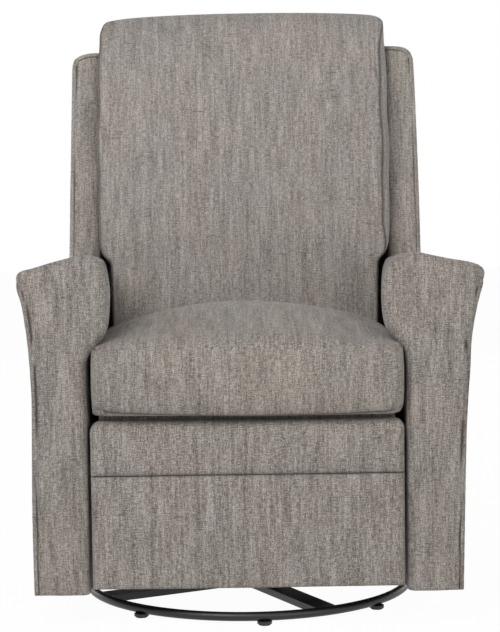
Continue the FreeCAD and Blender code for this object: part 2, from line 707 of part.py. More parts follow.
def link_body(name, x, start, end, holes, rivets=(), third=None):
    """A link between two pivots, drawn along its own X axis and turned into place.

    Holes and rivets are (distance along the link, radius); a rivet stands towards the
    chair's middle. A third pivot bends the link at its start.
    """
    side = 1 if x[0] > 0 else -1
    body = new_body(name)
    half = s.link_width / 2
    way = end - start
    length = Size(way.Length, repr(way.Length))
    angle = math.degrees(math.atan2(way.z, way.y))
    along = new_sketch(body, name + "_outline", "YZ_Plane")
    draw_outline(along, [(0 * half, -half), (length, -half, -half), (length, half),
                         (0 * half, half, -half)])
    for distance, radius in holes:
        draw_bore(along, distance * length, 0 * half, radius)
    pad(body, along, s.plate_thickness)
    if third is not None:
        tail = third - start
        bend = math.degrees(math.atan2(tail.z, tail.y)) - angle
        reach = Size(tail.Length, repr(tail.Length))
        back = new_sketch(body, name + "_tail", "YZ_Plane", turn=bend)
        draw_outline(back, [(0 * half, -half), (reach, -half, -half), (reach, half),
                            (0 * half, half, -half)])
        draw_bore(back, 0 * half, 0 * half, holes[0][1])
        draw_bore(back, reach, 0 * half, holes[0][1])
        pad(body, back, s.plate_thickness)
        opened = new_sketch(body, name + "_bore", "YZ_Plane")
        draw_bore(opened, 0 * half, 0 * half, holes[0][1])
        bore = body.newObject("PartDesign::Pocket", name + "_bore_cut")
        bore.Profile = opened
        bore.SideType = "Symmetric"
        bind(bore, "Length", s.plate_thickness * 4)
    for index, distance in enumerate(rivets):
        shank = s.plate_thickness * 2 + s.layer_gap * 2
        cap = shank + s.plate_thickness / 2
        for part, radius, from_x, to_x in (("shank", s.rivet, 0 * shank, shank),
                                           ("cap", s.rivet_head, shank, cap)):
            offset = s.plate_thickness - from_x if side > 0 else from_x
            mark = new_sketch(body, f"{name}_{part}_{index}", "YZ_Plane", offset)
            draw = draw_circle if part == "shank" else draw_bore
            draw(mark, distance * length, 0 * half, radius)
            pad(body, mark, to_x - from_x).Reversed = side > 0
    body.Placement = Placement(Vector(float(x[0]), start.y, start.z), Rotation(Vector(1, 0, 0), angle))
    return keep(body, name)


def footrest_pivots():
    """The pivots of one side as points in the plane X = 0, with the footrest closed."""
    start = math.radians(s.swing_start)
    front = Vector(0, -s.front_pivot_y, s.front_pivot_z)
    rear = front + Vector(0, float(s.pivot_step_y), -float(s.pivot_step_z))
    swing = Vector(0, -math.cos(-start), math.sin(-start)) * float(s.swing_length)
    tie = swing * (1 - float(s.tie_offset) / float(s.swing_length))
    lower = Vector(0, -s.bracket_pivot_y, s.bracket_pivot_z)
    upper = lower + tie - swing
    return {"front": front, "rear": rear, "front_end": front + swing, "rear_end": rear + swing,
            "tie": front + tie, "lower": lower, "upper": upper}


def make_seat():
    """The sliding seat: plates with the footrest's studs, slide blocks, rails and deck."""
    pivots = footrest_pivots()
    thick, gap = s.plate_thickness, s.layer_gap
    for name, sign in SIDES:
        body = new_body(f"seat_plate_{name}")
        outline = new_sketch(body, f"seat_plate_{name}_outline", "YZ_Plane")
        nose = s.plate_low + 14
        draw_outline(outline, [(-s.plate_front, nose), (14 - s.plate_front, s.plate_low),
                               (s.plate_rear - s.plate_cut, s.plate_low),
                               (s.plate_rear, s.plate_low + s.plate_cut),
                               (s.plate_rear, s.rail_bottom), (-s.plate_front, s.rail_bottom)])
        pad(body, outline, thick)
        offset = thick if sign > 0 else 0 * thick
        for place, depth in (("front", thick * 3), ("rear", thick * 2 + gap * 2)):
            spot = pivots[place]
            stud = new_sketch(body, f"seat_plate_{name}_{place}_stud", "YZ_Plane", offset)
            draw_circle(stud, spot.y, spot.z, s.rivet)
            pad(body, stud, thick + depth).Reversed = sign > 0
        cap_at = thick - (thick * 2 + gap * 2) if sign > 0 else thick * 2 + gap * 2
        cap = new_sketch(body, f"seat_plate_{name}_cap", "YZ_Plane", cap_at)
        draw_bore(cap, pivots["rear"].y, pivots["rear"].z, s.rivet_head)
        pad(body, cap, thick / 2).Reversed = sign > 0
        low, high = mirrored_span(sign, plate_outer - thick, plate_outer)
        keep(move(body, low), f"seat_plate_{name}")

    blocks = []
    run = s.slide_clearance
    low_z = s.channel_low + s.channel_wall + run
    high_z = s.channel_low + s.channel_height - s.channel_wall - run
    for name, sign in SIDES:
        for row, middle in (("front", -s.block_front), ("rear", s.block_rear)):
            low, high = mirrored_span(sign, plate_outer, s.arm_inner - s.channel_wall - run)
            blocks.append(box(f"slide_block_{row}_{name}", (low, middle - s.block_length / 2, low_z),
                              (high, middle + s.block_length / 2, high_z)))
    keep(fused("slide_blocks", blocks), "slide_blocks")

    low, high = s.rail_bottom, s.rail_bottom + s.rail_thickness
    side, width = plate_outer, s.rail_width
    keep(box("seat_rail_front", (-side, -s.rail_front, low), (side, width - s.rail_front, high)),
         "seat_rail_front")
    keep(box("seat_rail_rear", (-side, s.rail_rear - width, low), (side, s.rail_rear, high)),
         "seat_rail_rear")
    for name, sign in SIDES:
        inner, outer = mirrored_span(sign, side - width, side)
        keep(box(f"seat_rail_{name}", (inner, width - s.rail_front, low),
                 (outer, s.rail_rear - width, high)), f"seat_rail_{name}")
    keep(box("seat_deck", (width - side, width - s.rail_front, high - s.deck_thickness),
             (side - width, s.rail_rear - width, high)), "seat_deck")
    return high


def make_seat_cushion(deck_z):
    """The boxed seat cushion: flat below, drawn-in sides and a high crown."""
    low = deck_z + s.soft_clearance
    front, back = -s.seat_front, s.seat_back
    wide, edge, crown = seat_half_width, s.seat_edge, s.seat_crown
    run, tuck = s.seat_front + s.seat_back, s.seat_tuck
    sections = (
        (front, wide - tuck, low + tuck * 0.8, edge - tuck * 0.8, crown * 0.16),
        (front + run * 0.03, wide - tuck * 0.17, low + tuck * 0.1, edge, crown * 0.28),
        (front + run * 0.18, wide, low, edge, crown * 0.7),
        (front + run * 0.46, wide, low, edge, crown),
        (back - run * 0.26, wide, low, edge, crown * 0.95),
        (back - run * 0.06, wide - tuck * 0.1, low, edge - tuck * 0.17, crown * 0.7),
        (back, wide - tuck, low + tuck, edge - tuck * 1.2, crown * 0.4),
    )
    wires = []
    for y, half, bottom, top, rise in sections:
        lower_right, upper_right = Vector(half, y, bottom), Vector(half, y, top)
        lower_left, upper_left = Vector(-half, y, bottom), Vector(-half, y, top)
        wires.append(Part.Wire([
            Part.LineSegment(lower_left, lower_right).toShape(),
            arc_edge(lower_right, upper_right, Vector(2, 0, 0)),
            arc_edge(upper_right, upper_left, Vector(0, 0, rise)),
            arc_edge(upper_left, lower_left, Vector(-2, 0, 0)),
        ]))
    cushion = doc.addObject("Part::Feature", "seat_cushion")
    cushion.Shape = Part.makeLoft(wires, True, True)
    keep(cushion, "seat_cushion")


def make_legrest():
    """The double parallelogram of each side, the tube between and the footrest."""
    pivots = footrest_pivots()
    thick, gap = s.plate_thickness, s.layer_gap
    outer_layer = plate_outer - thick - gap
    inner_layer = outer_layer - thick - gap
    bore = s.rivet + s.pin_clearance
    share = 1 - float(s.tie_offset) / float(s.swing_length)
    for name, sign in SIDES:
        first = mirrored_span(sign, outer_layer - thick, outer_layer)
        second = mirrored_span(sign, inner_layer - thick, inner_layer)
        link_body(f"swing_link_front_{name}", first, pivots["front"], pivots["front_end"],
                  [(0, bore)], [share, 1])
        link_body(f"swing_link_rear_{name}", first, pivots["rear"], pivots["rear_end"],
                  [(0, bore)], [1])
        link_body(f"carrier_link_{name}", second, pivots["front_end"], pivots["lower"],
                  [(0, bore), (1, bore)], third=pivots["rear_end"])
        link_body(f"tie_link_{name}", second, pivots["tie"], pivots["upper"], [(0, bore), (1, bore)])

    reach = outer_layer - thick
    tube = cylinder("swing_tube_outer", s.tube_radius, -reach, reach, "x",
                    pivots["front"].y, pivots["front"].z)
    hollow = cylinder("swing_tube_inner", s.tube_radius - s.tube_wall, -reach - 1, reach + 1, "x",
                      pivots["front"].y, pivots["front"].z)
    keep(cut("swing_tube", tube, hollow), "swing_tube")

    board_y = -s.board_back
    for name, sign in SIDES:
        body = new_body(f"footrest_bracket_{name}")
        half = s.link_width / 2
        lower, upper = pivots["lower"], pivots["upper"]
        outline = new_sketch(body, f"footrest_bracket_{name}_web", "YZ_Plane")
        draw_outline(outline, [(board_y, lower.z - s.link_width * 1.5),
                               (lower.y, lower.z - half, half * 0.95),
                               (lower.y + half, lower.z), (upper.y + half, upper.z, half * 0.4),
                               (upper.y, upper.z + half),
                               (board_y, upper.z + s.link_width * 1.5)])
        pad(body, outline, thick)
        flat = new_sketch(body, f"footrest_bracket_{name}_flange", "YZ_Plane")
        foot, head = lower.z - s.link_width * 1.5, upper.z + s.link_width * 1.5
        draw_outline(flat, [(board_y, foot), (board_y + thick / 2, foot), (board_y + thick / 2, head),
                            (board_y, head)])
        flange = pad(body, flat, thick * 8)
        if sign > 0:
            flat.AttachmentOffset = Placement(Vector(0, 0, float(thick)), Rotation())
            bind(flat, "AttachmentOffset.Base.z", thick)
            flange.Reversed = True
        for spot in (lower, upper):
            shank = thick * 2 + gap * 2
            cap = shank + thick / 2
            for part, radius, from_x, to_x in (("shank", s.rivet, 0 * shank, shank),
                                               ("cap", s.rivet_head, shank, cap)):
                offset = thick - from_x if sign > 0 else from_x
                mark = new_sketch(body, f"footrest_bracket_{name}_{part}", "YZ_Plane", offset)
                draw = draw_circle if part == "shank" else draw_bore
                draw(mark, spot.y, spot.z, radius)
                pad(body, mark, to_x - from_x).Reversed = sign > 0
        low, high = mirrored_span(sign, outer_layer - thick, outer_layer)
        keep(move(body, low), f"footrest_bracket_{name}")

    face_y = board_y - s.board_thickness
    front_y = -s.footrest_front
    wrap = s.footrest_top - 6
    keep(box("footrest_board", (-board_half_width, face_y, s.footrest_bottom + 6),
             (board_half_width, board_y, wrap)), "footrest_board")

    seam_low, seam_high = s.footrest_seam - 2, s.footrest_seam + 2
    inset = 8
    lower_pad = plate("footrest_panel", "YZ_Plane",
                      [(face_y, s.footrest_bottom), (face_y, seam_low), (front_y + inset, seam_low, -5),
                       (front_y, seam_low - 14, -2), (front_y, s.footrest_bottom + 14, -5),
                       (front_y + inset, s.footrest_bottom)][::-1],
                      footrest_half_width * 2, centred=True)
    keep(lower_pad, "footrest_panel")
    upper_pad = plate("footrest_band", "YZ_Plane",
                      [(face_y, seam_high), (face_y, wrap), (board_y, wrap), (board_y, s.footrest_top),
                       (front_y + 18, s.footrest_top, -6), (front_y, s.footrest_top - 20, -3),
                       (front_y, seam_high + 12, -4), (front_y + inset, seam_high)][::-1],
                      footrest_half_width * 2, centred=True)
    keep(upper_pad, "footrest_band")


def lean_back(body):
    """Put a piece that was drawn upright into the leaning frame of the back."""
    body.Placement = Placement(Vector(0, float(s.wing_y), float(s.wing_z)),
                               Rotation(Vector(1, 0, 0), -float(s.lean)))
    return body


def make_back():
    """The reclining back, drawn upright: depth from the wings' front, height from it too."""
    depth = s.wing_depth
    low, high, curve = -s.wing_low, s.wing_high, s.wing_round
    for name, sign in SIDES:
        stops = [(wing_inner, low), (s.wing_low_x, low), (s.wing_high_x, high - curve, -6),
                 (s.wing_high_x - curve / 2, high - curve / 3, -2), (wing_inner, high)]
        stops = [(sign * stop[0], stop[1], *[sign * bulge for bulge in stop[2:]]) for stop in stops]
        wing = plate(f"wing_{name}", "XZ_Plane", stops, depth, offset=-depth)
        round_edges(wing, s.pad_radius - 3,
                    lambda edge: all(abs(v.Point.y) < 0.01 and abs(v.Point.z - float(high)) > 0.01
                                     for v in edge.Vertexes) and edge.Length > s.wing_high / 4)
        keep(lean_back(wing), f"wing_{name}")

    panel = plate("outside_back", "XZ_Plane",
                  [(-s.wing_low_x, -s.outside_low), (s.wing_low_x, -s.outside_low),
                   (s.wing_low_x, low), (s.wing_high_x, high - curve, -6),
                   (s.wing_high_x - curve / 2, high - curve / 3, -2),
                   (wing_inner, high, -3), (-wing_inner, high, -2),
                   (curve / 2 - s.wing_high_x, high - curve / 3, -6),
                   (-s.wing_high_x, high - curve), (-s.wing_low_x, low)],
                  s.outside_back, offset=-depth - s.outside_back)
    keep(lean_back(panel), "outside_back")

    turn = math.radians(s.lean)
    pivot_y, pivot_z = s.back_pivot_y - s.wing_y, s.back_pivot_z - s.wing_z
    pivot_depth = pivot_y * math.cos(turn) - pivot_z * math.sin(turn)
    pivot_up = pivot_y * math.sin(turn) + pivot_z * math.cos(turn)
    lug, front = s.lug_radius, depth - s.post_depth
    for name, sign in SIDES:
        post = plate(f"back_post_{name}", "YZ_Plane",
                     [(pivot_depth, pivot_up - lug), (depth, pivot_up + 10), (depth, s.post_high),
                      (front, s.post_high), (front, pivot_up + 60), (pivot_depth, pivot_up + lug, -lug)],
                     s.post_thickness, bores=[(pivot_depth, pivot_up, s.back_pin + s.pin_clearance)],
                     offset=mirrored_span(sign, post_inner, post_inner + s.post_thickness)[0])
        keep(lean_back(post), f"back_post_{name}")


def make_back_cushion():
    """The back cushion: crowned front, drawn-in sides, cut out where the arms pass it."""
    rear = s.wing_depth - s.post_depth - s.soft_clearance
    wide, front, crown, top = back_half_width, -s.back_front, s.back_crown, s.back_top
    tuck = s.back_tuck
    sections = (
        (-s.wing_low, wide - tuck, front + tuck * 1.4, rear - tuck * 0.3, crown * 0.3),
        (tuck * 1.8 - s.wing_low, wide - tuck * 0.14, front + tuck * 0.36, rear, crown * 0.7),
        (top * 0, wide, front, rear, crown),
        (top * 0.45, wide + tuck * 0.05, front, rear, crown),
        (top * 0.8, wide, front + tuck * 0.27, rear, crown * 0.85),
        (top - tuck * 1.4, wide - tuck * 0.18, front + tuck * 0.8, rear - tuck * 0.14, crown * 0.6),
        (top, wide - tuck, front + tuck * 2, rear - tuck, crown * 0.25),
    )
    wires = []
    for up, half, near, far, rise in sections:
        near_left, near_right = Vector(-half, near, up), Vector(half, near, up)
        far_left, far_right = Vector(-half, far, up), Vector(half, far, up)
        wires.append(Part.Wire([
            arc_edge(near_left, near_right, Vector(0, -rise, 0)),
            arc_edge(near_right, far_right, Vector(3, 0, 0)),
            Part.LineSegment(far_right, far_left).toShape(),
            arc_edge(far_left, near_left, Vector(-3, 0, 0)),
        ]))
    shape = Part.makeLoft(wires, True, True)
    shape.Placement = Placement(Vector(0, float(s.wing_y), float(s.wing_z)),
                                Rotation(Vector(1, 0, 0), -float(s.lean)))
    over_arms = s.arm_crest + 6
    for name, sign in SIDES:
        low, high = mirrored_span(sign, back_notch, back_half_width * 2)
        notch = Part.makeBox(high - low, s.wing_y * 2, over_arms, Vector(low, 0, 0))
        shape = shape.cut(notch)
    cushion = doc.addObject("Part::Feature", "back_cushion")
    cushion.Shape = shape
    keep(cushion, "back_cushion")


bearing_top = make_base()
glide_top = make_turntable(bearing_top)
make_glider(glide_top)
make_arms()
make_channels()
deck_top = make_seat()
make_seat_cushion(deck_top)
make_legrest()
make_back()
make_back_cushion()
doc.recompute()

failed = [item.Name for item in doc.Objects if {"Invalid", "Error"} & set(item.State)]
assert not failed, f"these failed: {failed}"
os.makedirs("parts", exist_ok=True)
broken = [node.Label for node in nodes if node.Shape.isNull() or not node.Shape.isValid()]
assert not broken, f"these have no valid shape: {broken}"
for node in nodes:
    assert node.Shape.Volume > 0, f"{node.Label} is empty"
    node.Shape.exportStep(f"parts/{node.Label}.step")
print(len(nodes), "nodes")
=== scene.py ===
"""Upholstered swivel glider recliner, dressed in a heathered linen tweed.

Covers, pads and cushions replace the plain CAD upholstery. Their outlines are (across, up)
points in millimetres, as seen from the front. Depth is y and runs to the rear.
"""

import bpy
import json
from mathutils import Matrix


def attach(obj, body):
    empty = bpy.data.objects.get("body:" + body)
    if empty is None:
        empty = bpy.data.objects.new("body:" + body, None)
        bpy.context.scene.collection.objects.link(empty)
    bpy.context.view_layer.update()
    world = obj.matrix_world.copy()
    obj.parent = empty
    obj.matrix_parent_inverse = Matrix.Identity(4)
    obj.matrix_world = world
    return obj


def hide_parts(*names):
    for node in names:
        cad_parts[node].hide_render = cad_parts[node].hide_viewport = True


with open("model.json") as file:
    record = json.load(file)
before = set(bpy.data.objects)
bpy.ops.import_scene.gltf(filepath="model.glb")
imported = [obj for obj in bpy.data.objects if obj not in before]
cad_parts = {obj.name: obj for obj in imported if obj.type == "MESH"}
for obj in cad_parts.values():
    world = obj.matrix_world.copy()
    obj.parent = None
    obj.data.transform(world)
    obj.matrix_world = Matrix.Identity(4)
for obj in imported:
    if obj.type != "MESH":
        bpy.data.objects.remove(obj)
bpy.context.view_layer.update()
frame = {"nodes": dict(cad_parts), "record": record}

import json
import math

import bmesh
import bpy
import numpy as np
from mathutils import Matrix, Vector

MM = 0.001
# The back leans about the lower edge of the wings, at this depth and height in metres.
LEAN = math.radians(15)
WING_Y, WING_Z = 0.300, 0.628
LEAN_BACK = Matrix.Translation((0, WING_Y, WING_Z)) @ Matrix.Rotation(-LEAN, 4, "X")


def link(name, data):
    """A new object that holds the data, in the scene."""
    piece = bpy.data.objects.new(name, data)
    bpy.context.scene.collection.objects.link(piece)
    return piece


# Materials

# The colour sockets of a mix node, whose inputs repeat for each type of data.
MIX_A, MIX_B, MIX_RESULT = 6, 7, 2


class Nodes:
    """A short way to write the node tree of a material or a world."""

    def __init__(self, owner):
        self.owner = owner
        owner.use_nodes = True
        self.tree = owner.node_tree
        self.tree.nodes.clear()

    def add(self, kind, inputs=None, **settings):
        node = self.tree.nodes.new(kind)
        for key, value in settings.items():
            setattr(node, key, value)
        for key, value in (inputs or {}).items():
            self.put(node.inputs[key], value)
        return node

    def put(self, socket, value):
        if isinstance(value, bpy.types.NodeSocket):
            self.tree.links.new(value, socket)
        elif isinstance(value, bpy.types.Node):
            self.tree.links.new(value.outputs[0], socket)
        else:
            socket.default_value = value

    def math(self, operation, a, b, c=None, clamp=False):
        node = self.add("ShaderNodeMath", operation=operation, use_clamp=clamp)
        for socket, value in zip(node.inputs, (a, b, c)):
            if value is not None:
                self.put(socket, value)
        return node.outputs[0]

    def sine(self, source, pitch):
        """A wave along the source, from -1 to 1."""
        return self.add("ShaderNodeMath", {0: self.math("MULTIPLY", source, 2 * math.pi / pitch)},
                        operation="SINE").outputs[0]

    def weighted(self, first, *others):
        """The sum of (source, weight) pairs."""
        total = self.math("MULTIPLY", *first)
        for source, weight in others:
            total = self.math("MULTIPLY_ADD", source, weight, total)
        return total

    def place(self):
        """The object's own coordinates."""
        return self.add("ShaderNodeTexCoord").outputs["Object"]

    def stretch(self, source, x, y, z=1.0, shift=(0, 0, 0)):
        return self.add("ShaderNodeVectorMath", {0: source, 1: (x, y, z), 2: shift},
                        operation="MULTIPLY_ADD").outputs[0]

    def noise(self, vector, scale=1.0, detail=2.0, rough=0.5, distortion=0.0):
        return self.add("ShaderNodeTexNoise", {
            "Vector": vector, "Scale": scale, "Detail": detail, "Roughness": rough,
            "Distortion": distortion}).outputs[0]

    def ramp(self, factor, stops):
        """Colours that blend between (place, rgb) stops."""
        node = self.add("ShaderNodeValToRGB", {"Fac": factor})
        elements = node.color_ramp.elements
        while len(elements) < len(stops):
            elements.new(0.5)
        for element, (place, colour) in zip(elements, stops):
            element.position = place
            element.color = (*colour, 1)
        return node.outputs[0]

    def rise(self, factor, low, high):
        """Black up to low and white from high."""
        return self.ramp(factor, [(low, (0, 0, 0)), (high, (1, 1, 1))])

    def mix(self, factor, a, b, blend="MIX"):
        node = self.add("ShaderNodeMix", {0: factor, MIX_A: a, MIX_B: b},
                        data_type="RGBA", blend_type=blend)
        return node.outputs[MIX_RESULT]

    def in_view(self):
        """1 for camera, mirror and glass rays, which see a white studio, and 0 for the light."""
        path = self.add("ShaderNodeLightPath").outputs
        mirrored = self.math("MAXIMUM", path["Is Glossy Ray"], path["Is Transmission Ray"])
        return self.math("MAXIMUM", path["Is Camera Ray"], mirrored)

    def surface(self, colour, rough, height, strength, distance, others=None):
        """A principled material whose bump follows the height."""
        bump = self.add("ShaderNodeBump",
                        {"Height": height, "Strength": strength, "Distance": distance})
        return self.finish(self.add("ShaderNodeBsdfPrincipled", {
            "Base Color": colour, "Roughness": rough, "Normal": bump, **(others or {})}))

    def finish(self, shader, kind="ShaderNodeOutputMaterial"):
        out = self.tree.nodes.new(kind)
        self.tree.links.new(shader.outputs[0], out.inputs["Surface"])
        return self.owner


# The yarn's colour from its darkest to its lightest fibres, at places on the noise.
YARN_TONES = (
    (0.24, (0.078, 0.069, 0.063)), (0.40, (0.196, 0.177, 0.163)), (0.51, (0.330, 0.302, 0.281)),
    (0.62, (0.480, 0.448, 0.424)), (0.78, (0.660, 0.628, 0.602)))
# Half the sum of the noises' weights, about which the contrast turns.
NOISE_MIDDLE = 0.83
SLUB_COLOUR = (0.10, 0.088, 0.078, 1)
# The near black of the painted shade in the seam grooves.
SEAM_SHADE_COLOUR = (0.030, 0.026, 0.022, 1)
WARP_PITCH, WEFT_PITCH = 1.7 * MM, 1.5 * MM


def tweed(name, level, warm, contrast, shift):
    """Slubby linen tweed: heathered lengthwise yarns, a fine cross weave and short dark slubs.

    Level scales the tones as painted light and shade, lighter or darker for each part; warm takes
    green and blue out of them, and shift moves the pattern. The seam attribute darkens the cloth
    as painted shade in the seam grooves.
    """
    n = Nodes(bpy.data.materials.new(name))
    uv = n.add("ShaderNodeUVMap", uv_map="weave").outputs[0]

    def layer(across, along, offset, detail, rough=0.5):
        return n.noise(n.stretch(uv, across, along, shift=(shift, offset, 0)),
                       detail=detail, rough=rough)

    fine = layer(520, 105, 0, 3, 0.65)
    yarn = layer(215, 17, 3, 2, 0.55)
    broad = layer(64, 6, 7, 1.5)
    cross = layer(90, 560, 11, 2.5, 0.6)
    speck = layer(640, 520, 5, 1.5, 0.7)
    cloud = layer(9, 6, 17, 1)
    slub_shape = layer(30, 470, 23, 1)
    slub_place = layer(26, 34, 29, 1)

    total = n.weighted((yarn, 0.25), (fine, 0.40), (broad, 0.15), (cross, 0.34), (speck, 0.52))
    total = n.math("MULTIPLY_ADD", total, contrast, 0.5 - NOISE_MIDDLE * contrast)
    tone = (level, level * (1 - warm * 0.4), level * (1 - warm))
    colour = n.ramp(total, [(place, tuple(c * t for c, t in zip(rgb, tone)))
                            for place, rgb in YARN_TONES])
    slub = n.math("MULTIPLY", n.rise(slub_shape, 0.60, 0.68), n.rise(slub_place, 0.54, 0.64))
    colour = n.mix(n.math("MULTIPLY", slub, 0.62), colour, SLUB_COLOUR)
    hue = n.ramp(cloud, [(0.35, (0.975, 1.0, 1.01)), (0.65, (1.02, 1.0, 0.985))])
    colour = n.mix(1.0, colour, hue, "MULTIPLY")
    # Painted shade in the seam grooves: the seam attribute darkens the cloth towards a near black.
    seam = n.add("ShaderNodeAttribute", attribute_name="seam").outputs["Fac"]
    seam = n.math("POWER", n.math("MULTIPLY", seam, 1.35, clamp=True), 2.0)
    colour = n.mix(n.math("MULTIPLY", seam, 0.82), colour, SEAM_SHADE_COLOUR)

    parts = n.add("ShaderNodeSeparateXYZ", {0: uv}).outputs
    weave = n.math("MULTIPLY", n.sine(parts[0], WARP_PITCH), n.sine(parts[1], WEFT_PITCH))
    height = n.weighted((fine, 0.9), (weave, 0.22), (cross, 0.6), (slub, 0.35))
    rough = n.math("MULTIPLY_ADD", fine, 0.12, 0.82)
    return n.surface(colour, rough, height, 0.42, 0.0011, {
        "Sheen Weight": 0.22, "Sheen Roughness": 0.45, "Specular IOR Level": 0.18})


def lining(name):
    """Black woven dust cloth."""
    n = Nodes(bpy.data.materials.new(name))
    place = n.place()
    threads = n.add("ShaderNodeTexChecker", {"Vector": place, "Scale": 700.0}).outputs["Fac"]
    colour = n.ramp(n.weighted((n.noise(place, 160, 3), 0.7), (threads, 0.3)),
                    [(0.2, (0.006, 0.006, 0.006)), (0.8, (0.03, 0.03, 0.031))])
    return n.surface(colour, 0.92, threads, 0.3, 0.0004)


def black_steel(name):
    """Semi-gloss black powder coat with a light orange peel and faint patches of dust."""
    n = Nodes(bpy.data.materials.new(name))
    place = n.place()
    wear = n.noise(place, 24, 4, 0.6)
    colour = n.ramp(wear, [(0.3, (0.004, 0.004, 0.004)), (0.75, (0.009, 0.009, 0.009))])
    rough = n.math("MULTIPLY_ADD", wear, 0.2, 0.3)
    return n.surface(colour, rough, n.noise(place, 900, 2), 0.22, 0.0003)


def zinc_steel(name):
    """Zinc plated steel with the plating's cloudy spangle and fine draw lines."""
    n = Nodes(bpy.data.materials.new(name))
    place = n.place()
    cloud = n.noise(place, 70, 3)
    lines = n.noise(n.stretch(place, 900, 60, 60), 1, 2)
    colour = n.ramp(cloud, [(0.3, (0.42, 0.42, 0.41)), (0.7, (0.60, 0.60, 0.58))])
    rough = n.math("MULTIPLY_ADD", cloud, 0.25, 0.22)
    return n.surface(colour, rough, lines, 0.15, 0.0002, {"Metallic": 1.0})


def hardwood(name):
    """Sawn hardwood with grain along its length and darker pores."""
    n = Nodes(bpy.data.materials.new(name))
    place = n.place()
    grain = n.noise(n.stretch(place, 6, 90, 90), 1, 5, 0.6, 0.6)
    pores = n.noise(n.stretch(place, 40, 900, 900), 1, 2)
    colour = n.ramp(grain, [(0.3, (0.30, 0.185, 0.095)), (0.5, (0.46, 0.31, 0.175)),
                            (0.7, (0.56, 0.40, 0.25))])
    colour = n.mix(n.math("MULTIPLY", pores, 0.3), colour, (0.2, 0.12, 0.06, 1))
    return n.surface(colour, 0.62, pores, 0.3, 0.0004)


def nylon(name):
    """Moulded black nylon with a fine spark-eroded grain."""
    n = Nodes(bpy.data.materials.new(name))
    place = n.place()
    colour = n.ramp(n.noise(place, 40, 2),
                    [(0.3, (0.016, 0.016, 0.017)), (0.7, (0.032, 0.032, 0.033))])
    return n.surface(colour, 0.48, n.noise(place, 1200, 2), 0.3, 0.0003)


# One tweed in copies for the parts, whose levels are painted light and shade: the back and wings
# lighter, the front, arms and seat darker.
TWEEDS_LIT_BY_PART = {
    "front": tweed("tweed_front", 0.80, 0.03, 1.45, 0.0),
    "arm": tweed("tweed_arm", 0.79, 0.03, 1.35, 0.37),
    "wing": tweed("tweed_wing", 1.02, 0.02, 1.2, 0.71),
    "back": tweed("tweed_back", 0.98, 0.0, 1.1, 1.13),
    "seat": tweed("tweed_seat", 0.82, 0.045, 1.3, 1.71),
}
FINISHES = {
    "upholstery_fabric": TWEEDS_LIT_BY_PART["front"],
    "lining": lining("dust_cloth"),
    "black_steel": black_steel("black_powder_coat"),
    "zinc_steel": zinc_steel("zinc_plating"),
    "hardwood": hardwood("hardwood"),
    "nylon": nylon("black_nylon"),
}
for subpart in frame["record"]["subparts"]:
    slots = frame["nodes"][subpart["node"]].data.materials
    slots.clear()
    slots.append(FINISHES[subpart["material_slot"]])


# Curves and grids

def smooth_line(points, steps=12):
    """A Catmull-Rom curve through points, as an array."""
    p = np.array(points, float)
    p = np.vstack([2 * p[0] - p[1], p, 2 * p[-1] - p[-2]])
    out = []
    for i in range(1, len(p) - 2):
        a, b, c, d = p[i - 1:i + 3]
        for t in np.arange(steps) / steps:
            out.append(0.5 * (2 * b + (c - a) * t + (2 * a - 5 * b + 4 * c - d) * t * t
                              + (3 * b - a - 3 * c + d) * t ** 3))
    out.append(p[-2])
    return np.array(out)


def steps_of(line):
    return np.linalg.norm(np.diff(line, axis=0), axis=1)


def runs(line):
    """The length of a polyline up to each of its points."""
    return np.concatenate([[0], np.cumsum(steps_of(line))])


def at(line, shares):
    """Points at shares of a polyline's length."""
    run = runs(line)
    where = np.asarray(shares, float) * run[-1]
    return np.stack([np.interp(where, run, line[:, k]) for k in range(line.shape[1])], -1)


def dense(line, step=1.0):
    """The same polyline with a point about every step."""
    return at(line, np.linspace(0, 1, max(3, int(float(steps_of(line).sum()) / step))))


def table(value, pairs):
    """The value's place in (from, to) pairs, with straight lines between them."""
    return np.interp(value, *zip(*pairs))


def spread(total, start, end, step):
    """Shares of a length: close steps at both ends as listed, even steps between."""
    first = [d for d in start if d < total * 0.45]
    last = [d for d in end if d < total * 0.45]
    count = max(2, round((total - first[-1] - last[-1]) / step))
    middle = np.linspace(first[-1], total - last[-1], count + 1)[1:-1]
    return np.concatenate([first, middle, [total - d for d in last[::-1]]]) / total


def coons(bottom, right, top, left, us, vs):
    """Grid of points between four edges; bottom and top run left to right, the others upward."""
    b, t = at(bottom, us), at(top, us)
    l, r = at(left, vs), at(right, vs)
    u, v = us[None, :, None], vs[:, None, None]
    corners = ((1 - u) * (1 - v) * b[0] + u * (1 - v) * b[-1]
               + (1 - u) * v * t[0] + u * v * t[-1])
    return (1 - v) * b[None] + v * t[None] + (1 - u) * l[:, None] + u * r[:, None] - corners


def box_lines(half, low, high):
    """The bottom, right, top and left edges of an upright rectangle."""
    corners = np.array([(-half, low), (half, low), (half, high), (-half, high)], float)
    return [corners[[start, end]] for start, end in ((0, 1), (1, 2), (3, 2), (0, 3))]


def near(points, line):
    """Distance of every point to a polyline's nearest sample."""
    flat = points.reshape(-1, points.shape[-1])
    best = np.full(len(flat), 1e9)
    for chunk in np.array_split(line, max(1, len(line) // 64)):
        best = np.minimum(best, np.sqrt(((flat[:, None] - chunk[None]) ** 2).sum(-1)).min(1))
    return best.reshape(points.shape[:-1])


def roll(distance, radius):
    """How far a surface falls back near an edge of that radius."""
    x = np.clip(1 - distance / radius, 0, 1)
    return radius * (1 - np.sqrt(1 - x * x))


def fade(value, start, width):
    """0 up to the start, then an even rise to 1 over the width."""
    return np.clip((value - start) / width, 0, 1)


def rounded(distances, radii):
    """How far a face falls back near its edges, each of its own radius."""
    return np.maximum.reduce([roll(edge, radius) for edge, radius in zip(distances, radii)])


def line_of(distance, inset, width):
    """1 along a seam that runs at the inset from an edge, and 0 away from it."""
    return np.exp(-((distance - inset) / width) ** 2)


